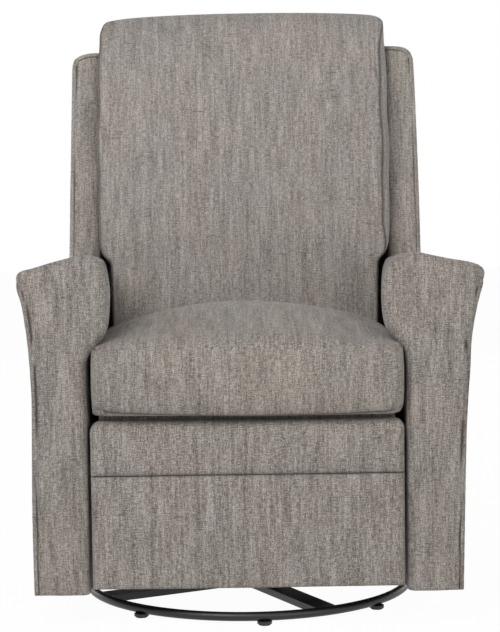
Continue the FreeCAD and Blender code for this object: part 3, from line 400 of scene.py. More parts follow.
def bumps(points, seed, size, height):
    """Smooth seeded unevenness, as the sum of a few slanting waves."""
    rng = np.random.default_rng(seed)
    total = np.zeros(points.shape[:-1])
    for _ in range(7):
        way = rng.normal(size=points.shape[-1])
        way *= 2 * math.pi / (size * rng.uniform(0.7, 1.5)) / np.linalg.norm(way)
        total += np.sin(points @ way + rng.uniform(0, 6.28))
    return total * height / 3


def build(name, points, faces, uvs, material, seam, body, matrix=None):
    """A smooth mesh from millimetre points, with a weave map in metres and a seam attribute that
    sets the painted shade along its seams.
    """
    mesh = bpy.data.meshes.new(name)
    mesh.from_pydata((np.asarray(points) * MM).tolist(), [], faces)
    mesh.polygons.foreach_set("use_smooth", [True] * len(mesh.polygons))
    layer = mesh.uv_layers.new(name="weave")
    layer.data.foreach_set("uv", (np.asarray(uvs, float) * MM).ravel())
    marks = mesh.attributes.new("seam", "FLOAT", "POINT")
    marks.data.foreach_set("value", np.clip(np.asarray(seam, float), 0, 1))
    mesh.materials.append(material)
    if matrix is not None:
        mesh.transform(matrix)
    solid = bmesh.new()
    solid.from_mesh(mesh)
    bmesh.ops.recalc_face_normals(solid, faces=solid.faces)
    solid.to_mesh(mesh)
    solid.free()
    piece = link(name, mesh)
    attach(piece, body)
    return piece


def grid_faces(rows, columns, offset, flip):
    index = np.arange(rows * columns).reshape(rows, columns) + offset
    quads = np.stack([index[:-1, :-1], index[:-1, 1:], index[1:, 1:], index[1:, :-1]], -1)
    return quads.reshape(-1, 4)[:, ::-1] if flip else quads.reshape(-1, 4)


def rim(rows, columns):
    """The grid's border as one loop of indexes: along the bottom, up, back and down."""
    index = np.arange(rows * columns).reshape(rows, columns)
    return np.concatenate([index[0, :-1], index[:-1, -1], index[-1, :0:-1], index[:0:-1, 0]])


def padded_block(name, face, depth_front, depth_back, lift, seam, material, body, matrix=None,
                 wall_step=18, puff=1.0, rear_face=None):
    """A closed padded body: a front grid, walls that run back from its rim, and a rear grid.

    The faces hold (across, up) points. Depth runs back along the second axis. The lift is how
    far each face point falls back from the front, and puff is how far the walls swell. The seam is
    the painted shade along the face's seams.
    """
    behind = face if rear_face is None else rear_face
    rows, columns = face.shape[:2]
    count = rows * columns
    flipped = np.cross(face[0, -1] - face[0, 0], face[-1, 0] - face[0, 0]) < 0
    border = rim(rows, columns)
    size = len(border)
    front = np.stack([face[..., 0], depth_front + lift, face[..., 1]], -1).reshape(-1, 3)
    rear_depth = np.broadcast_to(depth_back, face.shape[:2])
    rear = np.stack([behind[..., 0], rear_depth, behind[..., 1]], -1).reshape(-1, 3)

    start, stop = front[border], rear[border]
    steps = max(3, int(np.abs(stop[:, 1] - start[:, 1]).mean() / wall_step))
    shares = np.linspace(0, 1, steps + 1)[1:-1]
    walls = start[None] + (stop - start)[None] * shares[:, None, None]
    loop = face.reshape(-1, 2)[border]
    outward = np.roll(loop, 1, 0) - np.roll(loop, -1, 0)
    outward = np.stack([-outward[:, 1], outward[:, 0]], -1) * (-1 if flipped else 1)
    outward /= np.maximum(np.linalg.norm(outward, axis=1, keepdims=True), 1e-9)
    swell = np.sin(np.pi * shares)[:, None] ** 0.5 * puff
    walls[..., 0] += outward[:, 0] * swell
    walls[..., 2] += outward[:, 1] * swell
    points = np.concatenate([front, walls.reshape(-1, 3), rear])
    marks = np.zeros(len(points))
    marks[:count] = np.broadcast_to(seam, face.shape[:2]).ravel()

    rear_start = count + len(shares) * size
    rings = [border] + [count + k * size + np.arange(size) for k in range(len(shares))]
    rings.append(rear_start + border)
    ends = [grid_faces(rows, columns, 0, flipped),
            grid_faces(rows, columns, rear_start, not flipped)]
    run = runs(np.vstack([loop, loop[:1]]))
    here, after = run[:-1], run[1:]
    quads, maps = [ends[0]], [points[ends[0].ravel()][:, [0, 2]]]
    for ring, far_ring in zip(rings[:-1], rings[1:]):
        wall = np.stack([ring, far_ring, np.roll(far_ring, -1), np.roll(ring, -1)], -1)
        close, far = points[ring][:, 1], points[far_ring][:, 1]
        block = np.stack([np.stack([close, here], -1), np.stack([far, here], -1),
                          np.stack([np.roll(far, -1), after], -1),
                          np.stack([np.roll(close, -1), after], -1)], 1)
        if flipped:
            wall, block = wall[:, ::-1], block[:, ::-1]
        quads.append(wall)
        maps.append(block.reshape(-1, 2))
    quads.append(ends[1])
    maps.append(points[ends[1].ravel()][:, [0, 2]])
    return build(name, points, np.vstack(quads).tolist(), np.vstack(maps), material, marks, body,
                 matrix)


# Arms

# Each arm's front outline: up its outer side, inward over its top, and up its inner roll.
ARM_LINES = {
    "left": (
        [(370.5, 60), (371, 211), (368.5, 356), (368, 418), (371.5, 480), (375.6, 521),
         (381, 560), (387.5, 583), (390.5, 600)],
        [(390.5, 600), (390.2, 611), (382, 619.5), (363, 624), (338, 631.5), (313.5, 638),
         (290, 643.5), (271, 645.5), (257.5, 642), (247, 633)],
        [(275, 440), (273.5, 466), (258.5, 488.6), (243, 505), (235.5, 522), (232, 553),
         (231, 587), (236, 612), (247, 633)]),
    "right": (
        [(370.5, 60), (373, 200), (376, 325), (378, 387), (379.5, 416), (382.5, 469),
         (387.5, 510), (395, 551), (400.5, 572), (406.5, 594)],
        [(406.5, 594), (409, 606), (405, 616), (396, 621.5), (381.5, 626), (347.6, 632),
         (317, 638.5), (298.5, 642.5), (280, 642.5), (263, 637.5), (249, 625)],
        [(275, 440), (273.5, 466), (266, 484), (248, 503), (236.5, 523), (233, 560),
         (235, 589), (240, 608), (249, 625)]),
}
ARM_CREASE = [(397, 617), (376, 616), (353, 611), (334, 602)]
ARM_FOOT, ARM_INNER, ARM_OUTER = 60.0, 275.0, 370.0
ARM_FRONT, ARM_REAR = -315.0, 235.0
# A section that is wholly thin falls this far at its top. The arm's rear is thin by a share.
ARM_FALL, ARM_THIN = 62.0, 0.7
# The roll draws in from here, between these heights, and the top falls above its own start.
ROLL_ACROSS, ROLL_START, ROLL_REACH = 290, 450, 40
FALL_START, FALL_REACH = 470, 170
# Above this step the arm runs back to the leaning wing, less a gap.
STEP_START, STEP_REACH, BACK_GAP = 385, 30, 4
# Radii at the outer side, the top, the inner roll and the foot.
ARM_RADII = (9.0, 24.0, 17.0, 5.0)
# The welt beside the outer side: its inset and half width, and its depth.
ARM_WELT, ARM_WELT_DEPTH = (8.5, 1.6), 1.6
ARM_STUFFING = 3.0


def arm_face(side, us, vs, thin=0.0):
    """The grid of an arm's section and its edges; a thin one stands in less and falls."""
    sign = -1 if side == "left" else 1
    outer, top, inner = (smooth_line(line) for line in ARM_LINES[side])
    inner = np.vstack([[(ARM_INNER, ARM_FOOT), (ARM_INNER, 250)], inner])
    bottom = np.array([(ARM_INNER, ARM_FOOT), (ARM_OUTER, ARM_FOOT)])
    for line in (top, inner):
        stand = (np.clip(line[:, 0] - ROLL_ACROSS, None, 0)
                 * fade(line[:, 1], ROLL_START, ROLL_REACH))
        line[:, 0] -= stand * thin
    for line in (outer, top, inner):
        line[:, 1] -= ARM_FALL * thin * fade(line[:, 1], FALL_START, FALL_REACH)
    top = top[::-1]
    for line in (outer, top, inner, bottom):
        line[:, 0] *= sign
    return coons(bottom, outer, top, inner, us, vs), (outer, top, inner, bottom)


def make_arm(side):
    """An arm's cover, with a welt beside its outer side and a roll that thins to the rear."""
    sign = -1 if side == "left" else 1
    vs = spread(560, [0, 1.2, 3, 6, 11], [0, 1.5, 3.5, 7, 11, 16, 22, 29], 7.0)
    us = spread(110, [0, 1.5, 3.5, 7, 11, 16],
                [0, 1.5, 3.2, 5.2, 6.8, 7.9, 9.0, 10.4, 13, 18], 6.0)
    face, lines = arm_face(side, us, vs)
    rear_face, _ = arm_face(side, us, vs, ARM_THIN)

    outer, top, inner, foot = (near(face, dense(line)) for line in lines)
    lift = rounded((outer, top, inner, foot), ARM_RADII)
    # The welt's groove sinks the cover and also darkens it there as painted shade.
    groove = line_of(outer, *ARM_WELT) * np.clip(top / 14 - 0.3, 0, 1)
    lift = lift + groove * ARM_WELT_DEPTH
    middle = fade(np.minimum(outer, inner), 0, 45)
    lift -= ARM_STUFFING * middle + bumps(face, 11 + sign, 130, 0.9)
    if side == "right":
        end = near(face, np.array([(378.0, 612.0)]))
        crease = np.exp(-(near(face, dense(smooth_line(ARM_CREASE))) / 3.2) ** 2)
        lift += crease * np.clip(end / 20, 0.2, 1) * 2.4
    up = rear_face[..., 1]
    leaning = WING_Y / MM + (up - WING_Z / MM) * math.tan(LEAN) - BACK_GAP
    step = fade(up, STEP_START, STEP_REACH)
    rear = ARM_REAR * (1 - step) + np.maximum(leaning, ARM_REAR) * step
    return padded_block(f"arm_cover_{side}", face, ARM_FRONT, rear, lift, groove, TWEEDS_LIT_BY_PART["arm"],
                        "chair_frame", puff=1.2, rear_face=rear_face)


for side in ("left", "right"):
    arm = make_arm(side)
    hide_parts(f"arm_{side}", f"arm_front_{side}")


# Footrest and the rail above it

FOOTREST_HALF, FOOTREST_FRONT, FOOTREST_RADIUS = 269.0, -320.0, 13.0
# Points on each rounded corner of a pad.
CORNER_TURNS = 7
RAIL_HALF, RAIL_LOW, RAIL_HIGH = 256, 350.6, 367.4
RAIL_FRONT, RAIL_REAR, RAIL_RADIUS, RAIL_ROWS = -278.5, -272.2, 3.0, 17


def make_footrest_pad(name, low, high, corner, radius_top, radius_bottom, bulge, depth_back, seed):
    """A pad with rounded upper corners; the lower half of each corner belongs to its side."""
    half, rise, inset = FOOTREST_HALF, high - corner, FOOTREST_HALF - corner
    turns = np.linspace(0, math.pi / 2, CORNER_TURNS)
    top = np.array([(-inset - corner * math.cos(t), rise + corner * math.sin(t)) for t in turns]
                   + [(inset + corner * math.sin(t), rise + corner * math.cos(t)) for t in turns])
    cut = CORNER_TURNS // 2
    left = np.vstack([[(-half, low)], top[:cut + 1]])
    right = np.vstack([[(half, low)], top[::-1][:cut + 1]])
    bottom = np.array([(-half, low), (half, low)])
    top = top[cut:len(top) - cut]
    us = spread(2 * half, [0, 1.5, 4, 8, 13, 20], [0, 1.5, 4, 8, 13, 20], 8.0)
    vs = spread(high - low, [0, 0.8, 2, 4, 7, 12], [0, 1, 2.5, 5, 9, 14], 7.0)
    face = coons(bottom, right, top, left, us, vs)
    sides = np.minimum(near(face, dense(left)), near(face, dense(right)))
    lift = rounded((sides, near(face, dense(top)), near(face, dense(bottom))),
                   (FOOTREST_RADIUS, radius_top, radius_bottom))
    up = face[..., 1]
    inside = np.minimum(np.minimum(sides / 60, (up - low) / 40), (high - up) / 40)
    lift -= bulge * np.clip(inside, 0, 1) ** 0.7 + bumps(face, seed, 170, 0.7)
    piece = padded_block(name, face, FOOTREST_FRONT, depth_back, lift, 0.0, TWEEDS_LIT_BY_PART["front"],
                         "footrest", puff=0.4, wall_step=6)
    return piece


panel = make_footrest_pad("footrest_lower_pad", 70.0, 266.0, 2.0, 9.0, 6.0, 3.5, -294.6, 21)
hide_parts("footrest_panel")
band = make_footrest_pad("footrest_upper_pad", 266.8, 358.5, 16.0, 18.0, 10.0, 5.5, -283.0, 22)
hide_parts("footrest_band")


def make_rail_wrap():
    """The fabric that wraps the seat's front rail, seen in the gap under the cushion."""
    us = spread(2 * RAIL_HALF, [0, 1, 2.5, 5], [0, 1, 2.5, 5], 12.0)
    vs = spread(RAIL_ROWS, [0, 0.6, 1.5, 3], [0, 0.6, 1.5, 3], 3.0)
    lines = box_lines(RAIL_HALF, RAIL_LOW, RAIL_HIGH)
    face = coons(*lines, us, vs)
    edge = np.minimum.reduce([near(face, dense(line)) for line in lines])
    piece = padded_block("front_rail_wrap", face, RAIL_FRONT, RAIL_REAR,
                         roll(edge, RAIL_RADIUS), 0.0, TWEEDS_LIT_BY_PART["front"], "seat", puff=0.0,
                         wall_step=3)


make_rail_wrap()


# Back: wings and outside back, upright here and leant by LEAN_BACK, and the rear panel

# Each wing's outer side going up and its top going inward, in the leaning frame.
WING_LINES = {
    "left": ([(353, -225), (352, -60), (350, 120), (347.5, 300), (346.5, 362), (345.5, 382)],
             [(345.5, 382), (340.5, 393.5), (329, 400.5), (310, 405.5), (290, 406.5)]),
    "right": ([(353, -225), (354, -60), (354, 120), (352, 300), (350.5, 370), (349.5, 388)],
              [(349.5, 388), (344, 400), (332, 408.5), (311, 412.5), (290, 413)]),
}
WING_INNER, WING_OUTER, WING_LOW = 290.0, 353.0, -225.0
WING_FRONT, WING_REAR = 0.0, 127.5
# Radii at the outer side, the top and the inner side, and the welt beside the first two.
WING_RADII = (11.0, 13.0, 13.0)
WING_SIDE_WELT, WING_TOP_WELT, WING_WELT_DEPTH = (9.0, 1.5), (11.0, 1.7), 1.5
WING_STUFFING = 2.5
BACK_TOP_LINE = [(-150, 408), (0, 409.5), (150, 411)]
OUTSIDE_LOW, OUTSIDE_FRONT, OUTSIDE_REAR = -305.0, 128.2, 148.0
PANEL_HALF, PANEL_LOW, PANEL_HIGH = 274.7, 60.0, 250.0
PANEL_FRONT, PANEL_REAR = 221.0, 235.0
# The hem of a flat panel: its inset and half width, its depth, and the close rows about it.
HEM, HEM_DEPTH, HEM_RADIUS = (12.0, 1.4), 1.2, 6.0
HEM_STEPS = [0, 1.5, 4, 8, 11, 12, 13, 16, 22]


def make_wing(side):
    """A wing's cover, with a welt that follows its outer side and its top."""
    sign = -1 if side == "left" else 1
    outer, top = (smooth_line(line) for line in WING_LINES[side])
    top = top[::-1]
    inner = np.array([(WING_INNER, WING_LOW), top[0]])
    bottom = np.array([(WING_INNER, WING_LOW), (WING_OUTER, WING_LOW)])
    for line in (outer, top, inner, bottom):
        line[:, 0] *= sign
    us = spread(60, [0, 1.5, 4, 8, 13], [0, 1.5, 3.5, 6, 8, 9, 10, 12, 16], 6.0)
    vs = spread(630, [0, 2, 6], [0, 1.5, 3.5, 6, 8, 9.5, 11, 12.5, 15, 20], 8.0)
    face = coons(bottom, outer, top, inner, us, vs)
    side_edge, top_edge, inner_edge = (near(face, dense(line)) for line in (outer, top, inner))
    lift = rounded((side_edge, top_edge, inner_edge), WING_RADII)
    # The welts' grooves sink the cover and also darken it there as painted shade.
    groove = np.maximum(line_of(side_edge, *WING_SIDE_WELT) * (top_edge > 8),
                        line_of(top_edge, *WING_TOP_WELT) * (side_edge > 8))
    lift = lift + groove * WING_WELT_DEPTH
    middle = fade(side_edge, 0, 25) * fade(inner_edge, 0, 25)
    lift -= WING_STUFFING * middle + bumps(face, 31 + sign, 150, 0.7)
    return padded_block(f"wing_cover_{side}", face, WING_FRONT, WING_REAR, lift, groove * 0.8,
                        TWEEDS_LIT_BY_PART["wing"], "back", LEAN_BACK, puff=0.6)


for side in ("left", "right"):
    wing = make_wing(side)
    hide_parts(f"wing_{side}")


def make_flat_panel(name, lines, front, back, matrix, body, seed):
    """A thin upholstered panel whose outer side faces back, with a stitched hem line that is a
    groove darkened by painted shade.
    """
    shares = spread(700, HEM_STEPS, HEM_STEPS, 14.0)
    face = coons(*lines, shares, shares)
    edge = np.minimum.reduce([near(face, dense(line, 2.0)) for line in lines])
    # The hem's groove sinks the panel and also darkens it there as painted shade.
    groove = line_of(edge, *HEM)
    lift = -(roll(edge, HEM_RADIUS) + groove * HEM_DEPTH)
    lift += bumps(face, seed, 200, 0.8) * fade(edge, 0, 40)
    piece = padded_block(name, face[:, ::-1], back - 1.5, front, lift[:, ::-1],
                         groove[:, ::-1] * 0.8, TWEEDS_LIT_BY_PART["wing"], body, matrix, puff=0.0,
                         wall_step=6)
    return piece


sides = {side: smooth_line([(WING_OUTER, OUTSIDE_LOW)] + lines[0])
         * (-1 if side == "left" else 1, 1) for side, lines in WING_LINES.items()}
crown = np.vstack([smooth_line(WING_LINES["left"][1]) * (-1, 1), smooth_line(BACK_TOP_LINE),
                   smooth_line(WING_LINES["right"][1])[::-1]])
hem = np.array([(-WING_OUTER, OUTSIDE_LOW), (WING_OUTER, OUTSIDE_LOW)])
outside = make_flat_panel("outside_back_cover", (hem, sides["right"], crown, sides["left"]),
                          OUTSIDE_FRONT, OUTSIDE_REAR, LEAN_BACK, "back", 41)
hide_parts("outside_back")
rear = make_flat_panel("rear_panel_cover", box_lines(PANEL_HALF, PANEL_LOW, PANEL_HIGH),
                       PANEL_FRONT, PANEL_REAR, None, "chair_frame", 42)
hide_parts("rear_panel")


# Cushions, swollen as cloth under pressure

CLOTH_FRAMES = 20
CLOTH_STIFFNESS = 12
CLOTH_PRESSURE = 4.0
CLOTH_REACH = 16 * MM
SWELL_SHARE = (0.2, 0.45, 0.45)
# Shares under or over these belong to the first or the last points of a cushion's box.
FIRST, LAST = 0.001, 0.999
PANEL_AXES = {"top": (0, 1), "bottom": (0, 1), "front": (0, 2), "back": (0, 2),
              "left": (1, 2), "right": (1, 2)}


def simulate(piece, pin):
    """Swell a closed mesh as pressed cloth with its seams held; return its points and moves."""
    start = np.array([v.co for v in piece.data.vertices])
    group = piece.vertex_groups.new(name="held")
    for index in np.nonzero(pin > 0.01)[0]:
        group.add([int(index)], float(pin[index]), "REPLACE")
    cloth = piece.modifiers.new("Cloth", "CLOTH")
    settings = cloth.settings
    settings.quality = 5
    settings.mass = 0.25
    settings.tension_stiffness = CLOTH_STIFFNESS
    settings.compression_stiffness = CLOTH_STIFFNESS
    settings.shear_stiffness = CLOTH_STIFFNESS * 0.4
    settings.bending_stiffness = 0.35
    settings.air_damping = 2
    settings.use_pressure = True
    settings.uniform_pressure_force = CLOTH_PRESSURE
    settings.effector_weights.gravity = 0
    settings.vertex_group_mass = "held"
    cloth.collision_settings.use_self_collision = False
    cloth.point_cache.frame_start = 1
    cloth.point_cache.frame_end = CLOTH_FRAMES
    scene = bpy.context.scene
    for number in range(1, CLOTH_FRAMES + 1):
        scene.frame_set(number)
    evaluated = piece.evaluated_get(bpy.context.evaluated_depsgraph_get())
    move = np.array([v.co for v in evaluated.data.vertices]) - start
    piece.modifiers.remove(cloth)
    piece.vertex_groups.remove(group)
    scene.frame_set(1)
    far = np.linalg.norm(move, axis=1)
    return start, move * np.minimum(1, CLOTH_REACH / np.maximum(far, 1e-9))[:, None]


def refine(piece):
    """Catmull-Clark subdivision, applied."""
    modifier = piece.modifiers.new("Subdivision", "SUBSURF")
    modifier.levels = modifier.render_levels = 1
    modifier.boundary_smooth = "PRESERVE_CORNERS"
    graph = bpy.context.evaluated_depsgraph_get()
    mesh = bpy.data.meshes.new_from_object(piece.evaluated_get(graph), depsgraph=graph)
    piece.modifiers.clear()
    mesh.name = piece.data.name
    piece.data = mesh


def make_box_cushion(name, nx, ny, nz, shape, material, body):
    """A closed cushion grid on a box; shape gives its points, what is held and the painted shade
    along its seams.
    """
    us, vs, ws = (np.linspace(0, 1, n + 1) for n in (nx, ny, nz))
    keys, points, faces, panels = {}, [], [], []

    def vertex(key):
        if key not in keys:
            keys[key] = len(points)
            points.append((us[key[0]], vs[key[1]], ws[key[2]]))
        return keys[key]

    def face(panel, *corners):
        faces.append([vertex(c) for c in corners])
        panels.append(panel)

    for i in range(nx):
        for j in range(ny):
            face("top", (i, j, nz), (i + 1, j, nz), (i + 1, j + 1, nz), (i, j + 1, nz))
            face("bottom", (i, j, 0), (i, j + 1, 0), (i + 1, j + 1, 0), (i + 1, j, 0))
        for k in range(nz):
            face("front", (i, 0, k), (i + 1, 0, k), (i + 1, 0, k + 1), (i, 0, k + 1))
            face("back", (i, ny, k), (i, ny, k + 1), (i + 1, ny, k + 1), (i + 1, ny, k))
    for j in range(ny):
        for k in range(nz):
            face("left", (0, j, k), (0, j, k + 1), (0, j + 1, k + 1), (0, j + 1, k))
            face("right", (nx, j, k), (nx, j + 1, k), (nx, j + 1, k + 1), (nx, j, k + 1))
    placed, pin, marks = shape(np.array(points))
    uvs = [[placed[c][axis] for axis in PANEL_AXES[panel]]
           for corners, panel in zip(faces, panels) for c in corners]
    return build(name, placed, faces, uvs, material, marks, body), pin


# The seat's front turns over into its top, so both take their cells from one line.
FRONT_CELLS, TOP_CELLS = 14, 60
SEAT_LOW, SEAT_REAR = 368.8, 146.0
SEAT_WIDTHS = ((0, 262), (0.03, 265), (0.18, 265), (0.94, 263), (1, 253))
SEAT_LINES = (
    # Over the middle: (depth, height) up the front, over the crown and down to the rear.
    smooth_line([(-332, 370), (-342, 379), (-348, 400), (-351, 430), (-351, 460), (-349, 482),
                 (-342, 496), (-328, 504), (-292, 515), (-250, 526), (-180, 538), (-111, 543),
                 (0, 540), (80, 527), (128, 510), (158, 488)]),
    # Along the sides.
    smooth_line([(-330, 379), (-337, 388), (-340, 412), (-341, 440), (-340, 464), (-336, 478),
                 (-326, 485), (-305, 488), (-250, 489), (-180, 487), (-111, 485), (0, 483),
                 (80, 482), (128, 479), (158, 467)]),
)


def seat_section(line, v, w):
    """Points of a section along the seat: v runs to the rear, w runs up to the line."""
    total = FRONT_CELLS + TOP_CELLS
    top = at(line, (FRONT_CELLS + TOP_CELLS * v) / total)
    front = at(line, FRONT_CELLS * w / total)
    corner = at(line, [FRONT_CELLS / total])[0]
    start, last, heel = line[0], line[-1], np.array([SEAT_REAR, SEAT_LOW])
    turn_up = np.clip(1 - v / 0.05, 0, 1) ** 2
    bottom = np.stack([start[0] + (SEAT_REAR - start[0]) * v,
                       SEAT_LOW + (start[1] - SEAT_LOW) * turn_up], -1)
    back = np.stack([SEAT_REAR + (last[0] - SEAT_REAR) * np.sin(np.pi / 2 * w) ** 0.6,
                     SEAT_LOW + (last[1] - SEAT_LOW) * w], -1)
    v, w = v[:, None], w[:, None]
    return ((1 - w) * bottom + w * top + (1 - v) * front + v * back
            - ((1 - v) * (1 - w) * start + v * (1 - w) * heel
               + (1 - v) * w * corner + v * w * last))


def shape_seat(shares):
    """The seat cushion: u across, v from front to rear, w up. Its sides draw in at the foot."""
    u, v, w = shares.T
    side = u * 2 - 1
    reach = np.abs(side)
    across = np.clip(1 - side ** 2, 0, 1)
    middle, flank = (seat_section(line, v, w) for line in SEAT_LINES)
    y, z = (flank + (middle - flank) * across[:, None] ** 0.8).T

    ahead = np.clip(1 - v / 0.08, 0, 1)
    foot = np.clip(1 - w / 0.18, 0, 1) ** 2
    half = table(v, SEAT_WIDTHS) - ahead * 9 * foot + (reach > LAST) * np.sin(np.pi * w) * 1.8
    x = side * half + ahead * 4.0
    y = y + 17 * fade(reach, 0.92, 0.08) ** 2 * ahead
    corner_rise = 4 * fade(reach, 0.93, 0.07) ** 2
    z = z + ahead * np.clip(1 - w / 0.2, 0, 1) * (corner_rise - 2.5 * side)
    points = np.stack([x, y, z], -1)
    inside = np.clip(across * 6, 0, 1)
    points[:, 2] += bumps(points[:, :2], 51, 190, 1.3) * (w > LAST) * inside
    points[:, 1] += bumps(points[:, [0, 2]], 52, 160, 1.3) * (v < FIRST) * inside

    flat = w < FIRST
    lower = flat & ((v < FIRST) | (reach > LAST))
    upper = (w > LAST) & ((reach > LAST) | (v > LAST))
    stitched = lower | upper
    # Painted shade along the stitched seams, but not along the bottom of the sides.
    marks = np.where(stitched & ~(flat & (reach > 0.97)), 0.8, 0.0)
    return points, np.where(stitched | flat, 1.0, 0.0), marks


# The back cushion in the leaning frame: what each height stands at, in (height, measure) pairs.
BACK_LOW, BACK_HIGH = -225, 468
BACK_FRONT = ((-225, -44), (-185, -66), (0, -74), (210, -74), (375, -68), (430, -56),
              (455, -40), (468, -22))
BACK_REAR = ((-225, 101), (-185, 107), (300, 107), (440, 104), (468, 86))
BACK_CROWN = ((-225, 7), (-100, 17), (60, 22), (375, 20), (450, 12), (468, 6))
# Half widths: between the arms by height in the room, and above them by height on each side.
BACK_BETWEEN_ARMS = ((-225, 243), (-185, 258), (-30, 262), (10, 263), (16, 268), (22, 277),
                     (30, 281), (44, 285), (60, 286))
BACK_ABOVE_LEFT = ((60, 286), (220, 288), (370, 287.5), (425, 286), (450, 279), (462, 269),
                   (468, 259))
BACK_ABOVE_RIGHT = ((60, 287), (220, 289), (370, 288), (435, 287), (455, 285), (468, 274))
# About how far the arms' tops fall for each millimetre of depth.
ARM_SLOPE = 0.072


def shape_back(shares):
    """The back cushion in the leaning frame: u across, v up, w from rear to front."""
    u, v, w = shares.T
    side = u * 2 - 1
    reach = np.abs(side)
    across = np.clip(1 - side ** 2, 0, 1)
    height = BACK_LOW + (BACK_HIGH - BACK_LOW) * v
    rear = table(height, BACK_REAR)
    front = table(height, BACK_FRONT) - table(height, BACK_CROWN) * across ** 0.7
    y = rear + (front - rear) * w
    depth = WING_Y / MM + y * math.cos(LEAN) + height * math.sin(LEAN)
    level = (height * math.cos(LEAN) - y * math.sin(LEAN)
             + ARM_SLOPE * (depth - ARM_FRONT))
    above = np.where(side < 0, table(height, BACK_ABOVE_LEFT), table(height, BACK_ABOVE_RIGHT))
    half = np.where(level < 60, table(level, BACK_BETWEEN_ARMS), above)

    # The right side stands proud of its front seam above the arm.
    rim_cells = reach > LAST
    wave = bumps(np.stack([height, np.zeros_like(height)], -1), 61, 150, 1.6)
    proud = fade(level, 20, 60) * fade(440 - height, 0, 60) * (side > 0)
    seam_in = proud * fade(w, 0.86, 0.14) ** 1.4 * 13 * fade(reach, 0.8, 0.2)
    half = half - seam_in + rim_cells * np.sin(np.pi * w) * (1.5 + proud * 3.5)
    half = half + wave * fade(level, 50, 40) * np.clip((w - 0.5) * 3, 0, 1)
    top = v > LAST
    arch = 10 * across ** 0.5 - 3 + np.sin(np.pi * w) * 7 + side * 1.5
    points = np.stack([side * half, y, height + np.where(top, arch, 0)], -1)
    inside = np.clip(across * 5, 0, 1) * fade(BACK_HIGH - height, 0, 60)
    points[:, 1] += bumps(points[:, [0, 2]], 62, 230, 2.2) * (w > LAST) * inside

    foot = v < FIRST
    stitched = (rim_cells | top | foot) & ((w > LAST) | (w < FIRST))
    # Painted shade along the seams at the sides and the foot.
    marks = np.where(stitched & (rim_cells | foot), 0.75, 0.0)
    return points, np.where(stitched | (w < FIRST), 1.0, 0.0), marks


def make_cushion(name, cells, shape, material, body, node, matrix=None):
    """A stuffed cushion: shaped, swollen as cloth and subdivided."""
    piece, pin = make_box_cushion(name, *cells, shape, material, body)
    if matrix is not None:
        piece.data.transform(matrix)
    start, move = simulate(piece, pin)
    piece.data.vertices.foreach_set("co", (start + move * SWELL_SHARE).ravel())
    piece.data.update()
    refine(piece)
    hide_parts(node)


make_cushion("seat_cushion_cover", (64, TOP_CELLS, FRONT_CELLS), shape_seat, TWEEDS_LIT_BY_PART["seat"],
             "seat", "seat_cushion")
# The box's second axis runs from front to rear and its third runs up.
make_cushion("back_cushion_cover", (70, 20, 84),
             lambda shares: shape_back(shares[:, [0, 2, 1]] * (1, 1, -1) + (0, 0, 1)),
             TWEEDS_LIT_BY_PART["back"], "back", "back_cushion", LEAN_BACK)


# Base ring: the welded tube, smooth

RING_RADIUS, TUBE_RADIUS, RING_HEIGHT = 297, 8, 15
RING_CELLS = (160, 24)


def make_ring():
    """The ring's tube as a torus: its first cells run round the floor, its second the tube."""
    a, b = (np.arange(count) / count * 2 * math.pi for count in RING_CELLS)
    a = a[:, None]
    radius = RING_RADIUS + TUBE_RADIUS * np.cos(b)[None]
    height = np.broadcast_to(RING_HEIGHT + TUBE_RADIUS * np.sin(b)[None], RING_CELLS)
    points = np.stack([radius * np.cos(a), radius * np.sin(a), height], -1).reshape(-1, 3)
    index = np.arange(len(points)).reshape(RING_CELLS)
    down, along = np.roll(index, -1, 0), np.roll(index, -1, 1)
    quads = np.stack([index, down, np.roll(down, -1, 1), along], -1).reshape(-1, 4)
    ring = build("base_ring_tube", points, quads.tolist(), np.zeros((quads.size, 2)),
                 FINISHES["black_steel"], np.zeros(len(points)), "base")
    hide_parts("base_ring")


make_ring()


# Floor, light and camera

FLOOR_REACH = 9
LAMP_COLOUR = (1.0, 0.985, 0.965)
# Name, place, height of the spot it is aimed at, side in metres and power in watts.
LAMPS = (
    ("key", (-1.3, -2.9, 2.8), 0.6, 2.2, 84),
    ("fill", (1.9, -3.3, 1.5), 0.6, 2.4, 30),
    ("rear_left", (-2.6, 2.9, 1.3), 0.5, 2.0, 34),
    ("rear_right", (2.6, 2.9, 1.3), 0.5, 2.0, 34),
)
CAMERA_PLACE = (-0.003, -3.654, 0.839)
CAMERA_YAW, CAMERA_PITCH, CAMERA_TILT = (math.radians(angle) for angle in (0.18, -5.13, -0.77))
# The focal length and the picture's longer side in pixels, and that side on the sensor.
FOCAL_PIXELS, PICTURE_PIXELS, SENSOR = 1972.4, 632, 36


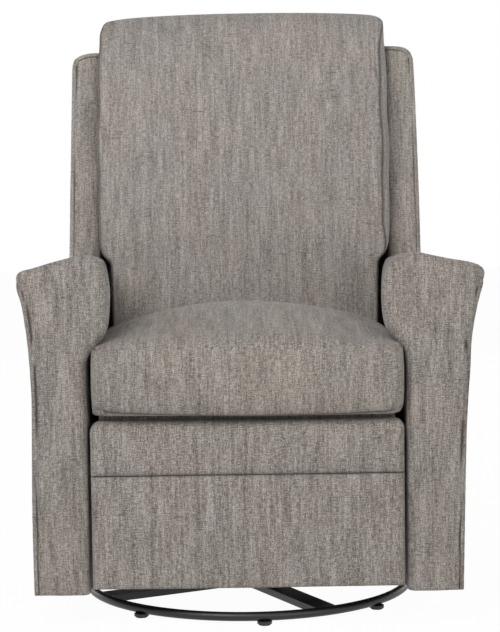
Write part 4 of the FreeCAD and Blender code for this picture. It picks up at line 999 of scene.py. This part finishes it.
def make_floor():
    """A wide floor that looks white and keeps the chair's shadow."""
    n = Nodes(bpy.data.materials.new("floor"))
    white = n.add("ShaderNodeEmission", {"Color": (1, 1, 1, 1), "Strength": 1.0})
    matt = n.add("ShaderNodeBsdfDiffuse", {"Color": (0.93, 0.93, 0.93, 1)})
    # A small share of the matt floor stays in view, so that it keeps the shadow.
    seen = n.math("MULTIPLY", n.in_view(), 0.97)
    material = n.finish(n.add("ShaderNodeMixShader", {0: seen, 1: matt, 2: white}))
    mesh = bpy.data.meshes.new("floor")
    mesh.from_pydata([(x * FLOOR_REACH, y * FLOOR_REACH, 0)
                      for x, y in ((-1, -1), (1, -1), (1, 1), (-1, 1))], [], [(0, 1, 2, 3)])
    mesh.materials.append(material)
    floor = link("floor", mesh)


def make_light():
    """A soft, plain world that looks white, and four square lamps."""
    n = Nodes(bpy.data.worlds.new("studio"))
    soft = n.add("ShaderNodeBackground", {"Color": (1.0, 0.99, 0.975, 1), "Strength": 0.36})
    white = n.add("ShaderNodeBackground", {"Color": (1, 1, 1, 1), "Strength": 1.0})
    mix = n.add("ShaderNodeMixShader", {0: n.in_view(), 1: soft, 2: white})
    bpy.context.scene.world = n.finish(mix, "ShaderNodeOutputWorld")
    for name, place, aim, size, power in LAMPS:
        lamp = bpy.data.lights.new(name, "AREA")
        lamp.shape = "SQUARE"
        lamp.size = size
        lamp.energy = power
        lamp.color = LAMP_COLOUR
        holder = link(name, lamp)
        holder.location = place
        way = Vector((0, 0, aim)) - Vector(place)
        holder.rotation_euler = way.to_track_quat("-Z", "Y").to_euler()


def make_camera():
    """The camera that was fitted to the photograph's edges."""
    yaw, pitch, tilt = CAMERA_YAW, CAMERA_PITCH, CAMERA_TILT
    look = Vector((math.sin(yaw) * math.cos(pitch), math.cos(yaw) * math.cos(pitch),
                   math.sin(pitch)))
    right = Vector((math.cos(yaw), -math.sin(yaw), 0))
    up = right.cross(look)
    across = right * math.cos(tilt) + up * math.sin(tilt)
    above = -right * math.sin(tilt) + up * math.cos(tilt)
    lens = bpy.data.cameras.new("camera")
    lens.sensor_width = SENSOR
    lens.lens = FOCAL_PIXELS / PICTURE_PIXELS * SENSOR
    lens.clip_start, lens.clip_end = 0.05, 60
    camera = link("camera", lens)
    rows = list(zip(across, above, -look, CAMERA_PLACE))
    camera.matrix_world = Matrix(rows + [(0, 0, 0, 1)])
    bpy.context.scene.camera = camera


make_floor()
make_light()
make_camera()
bpy.context.scene.view_settings.view_transform = "Standard"
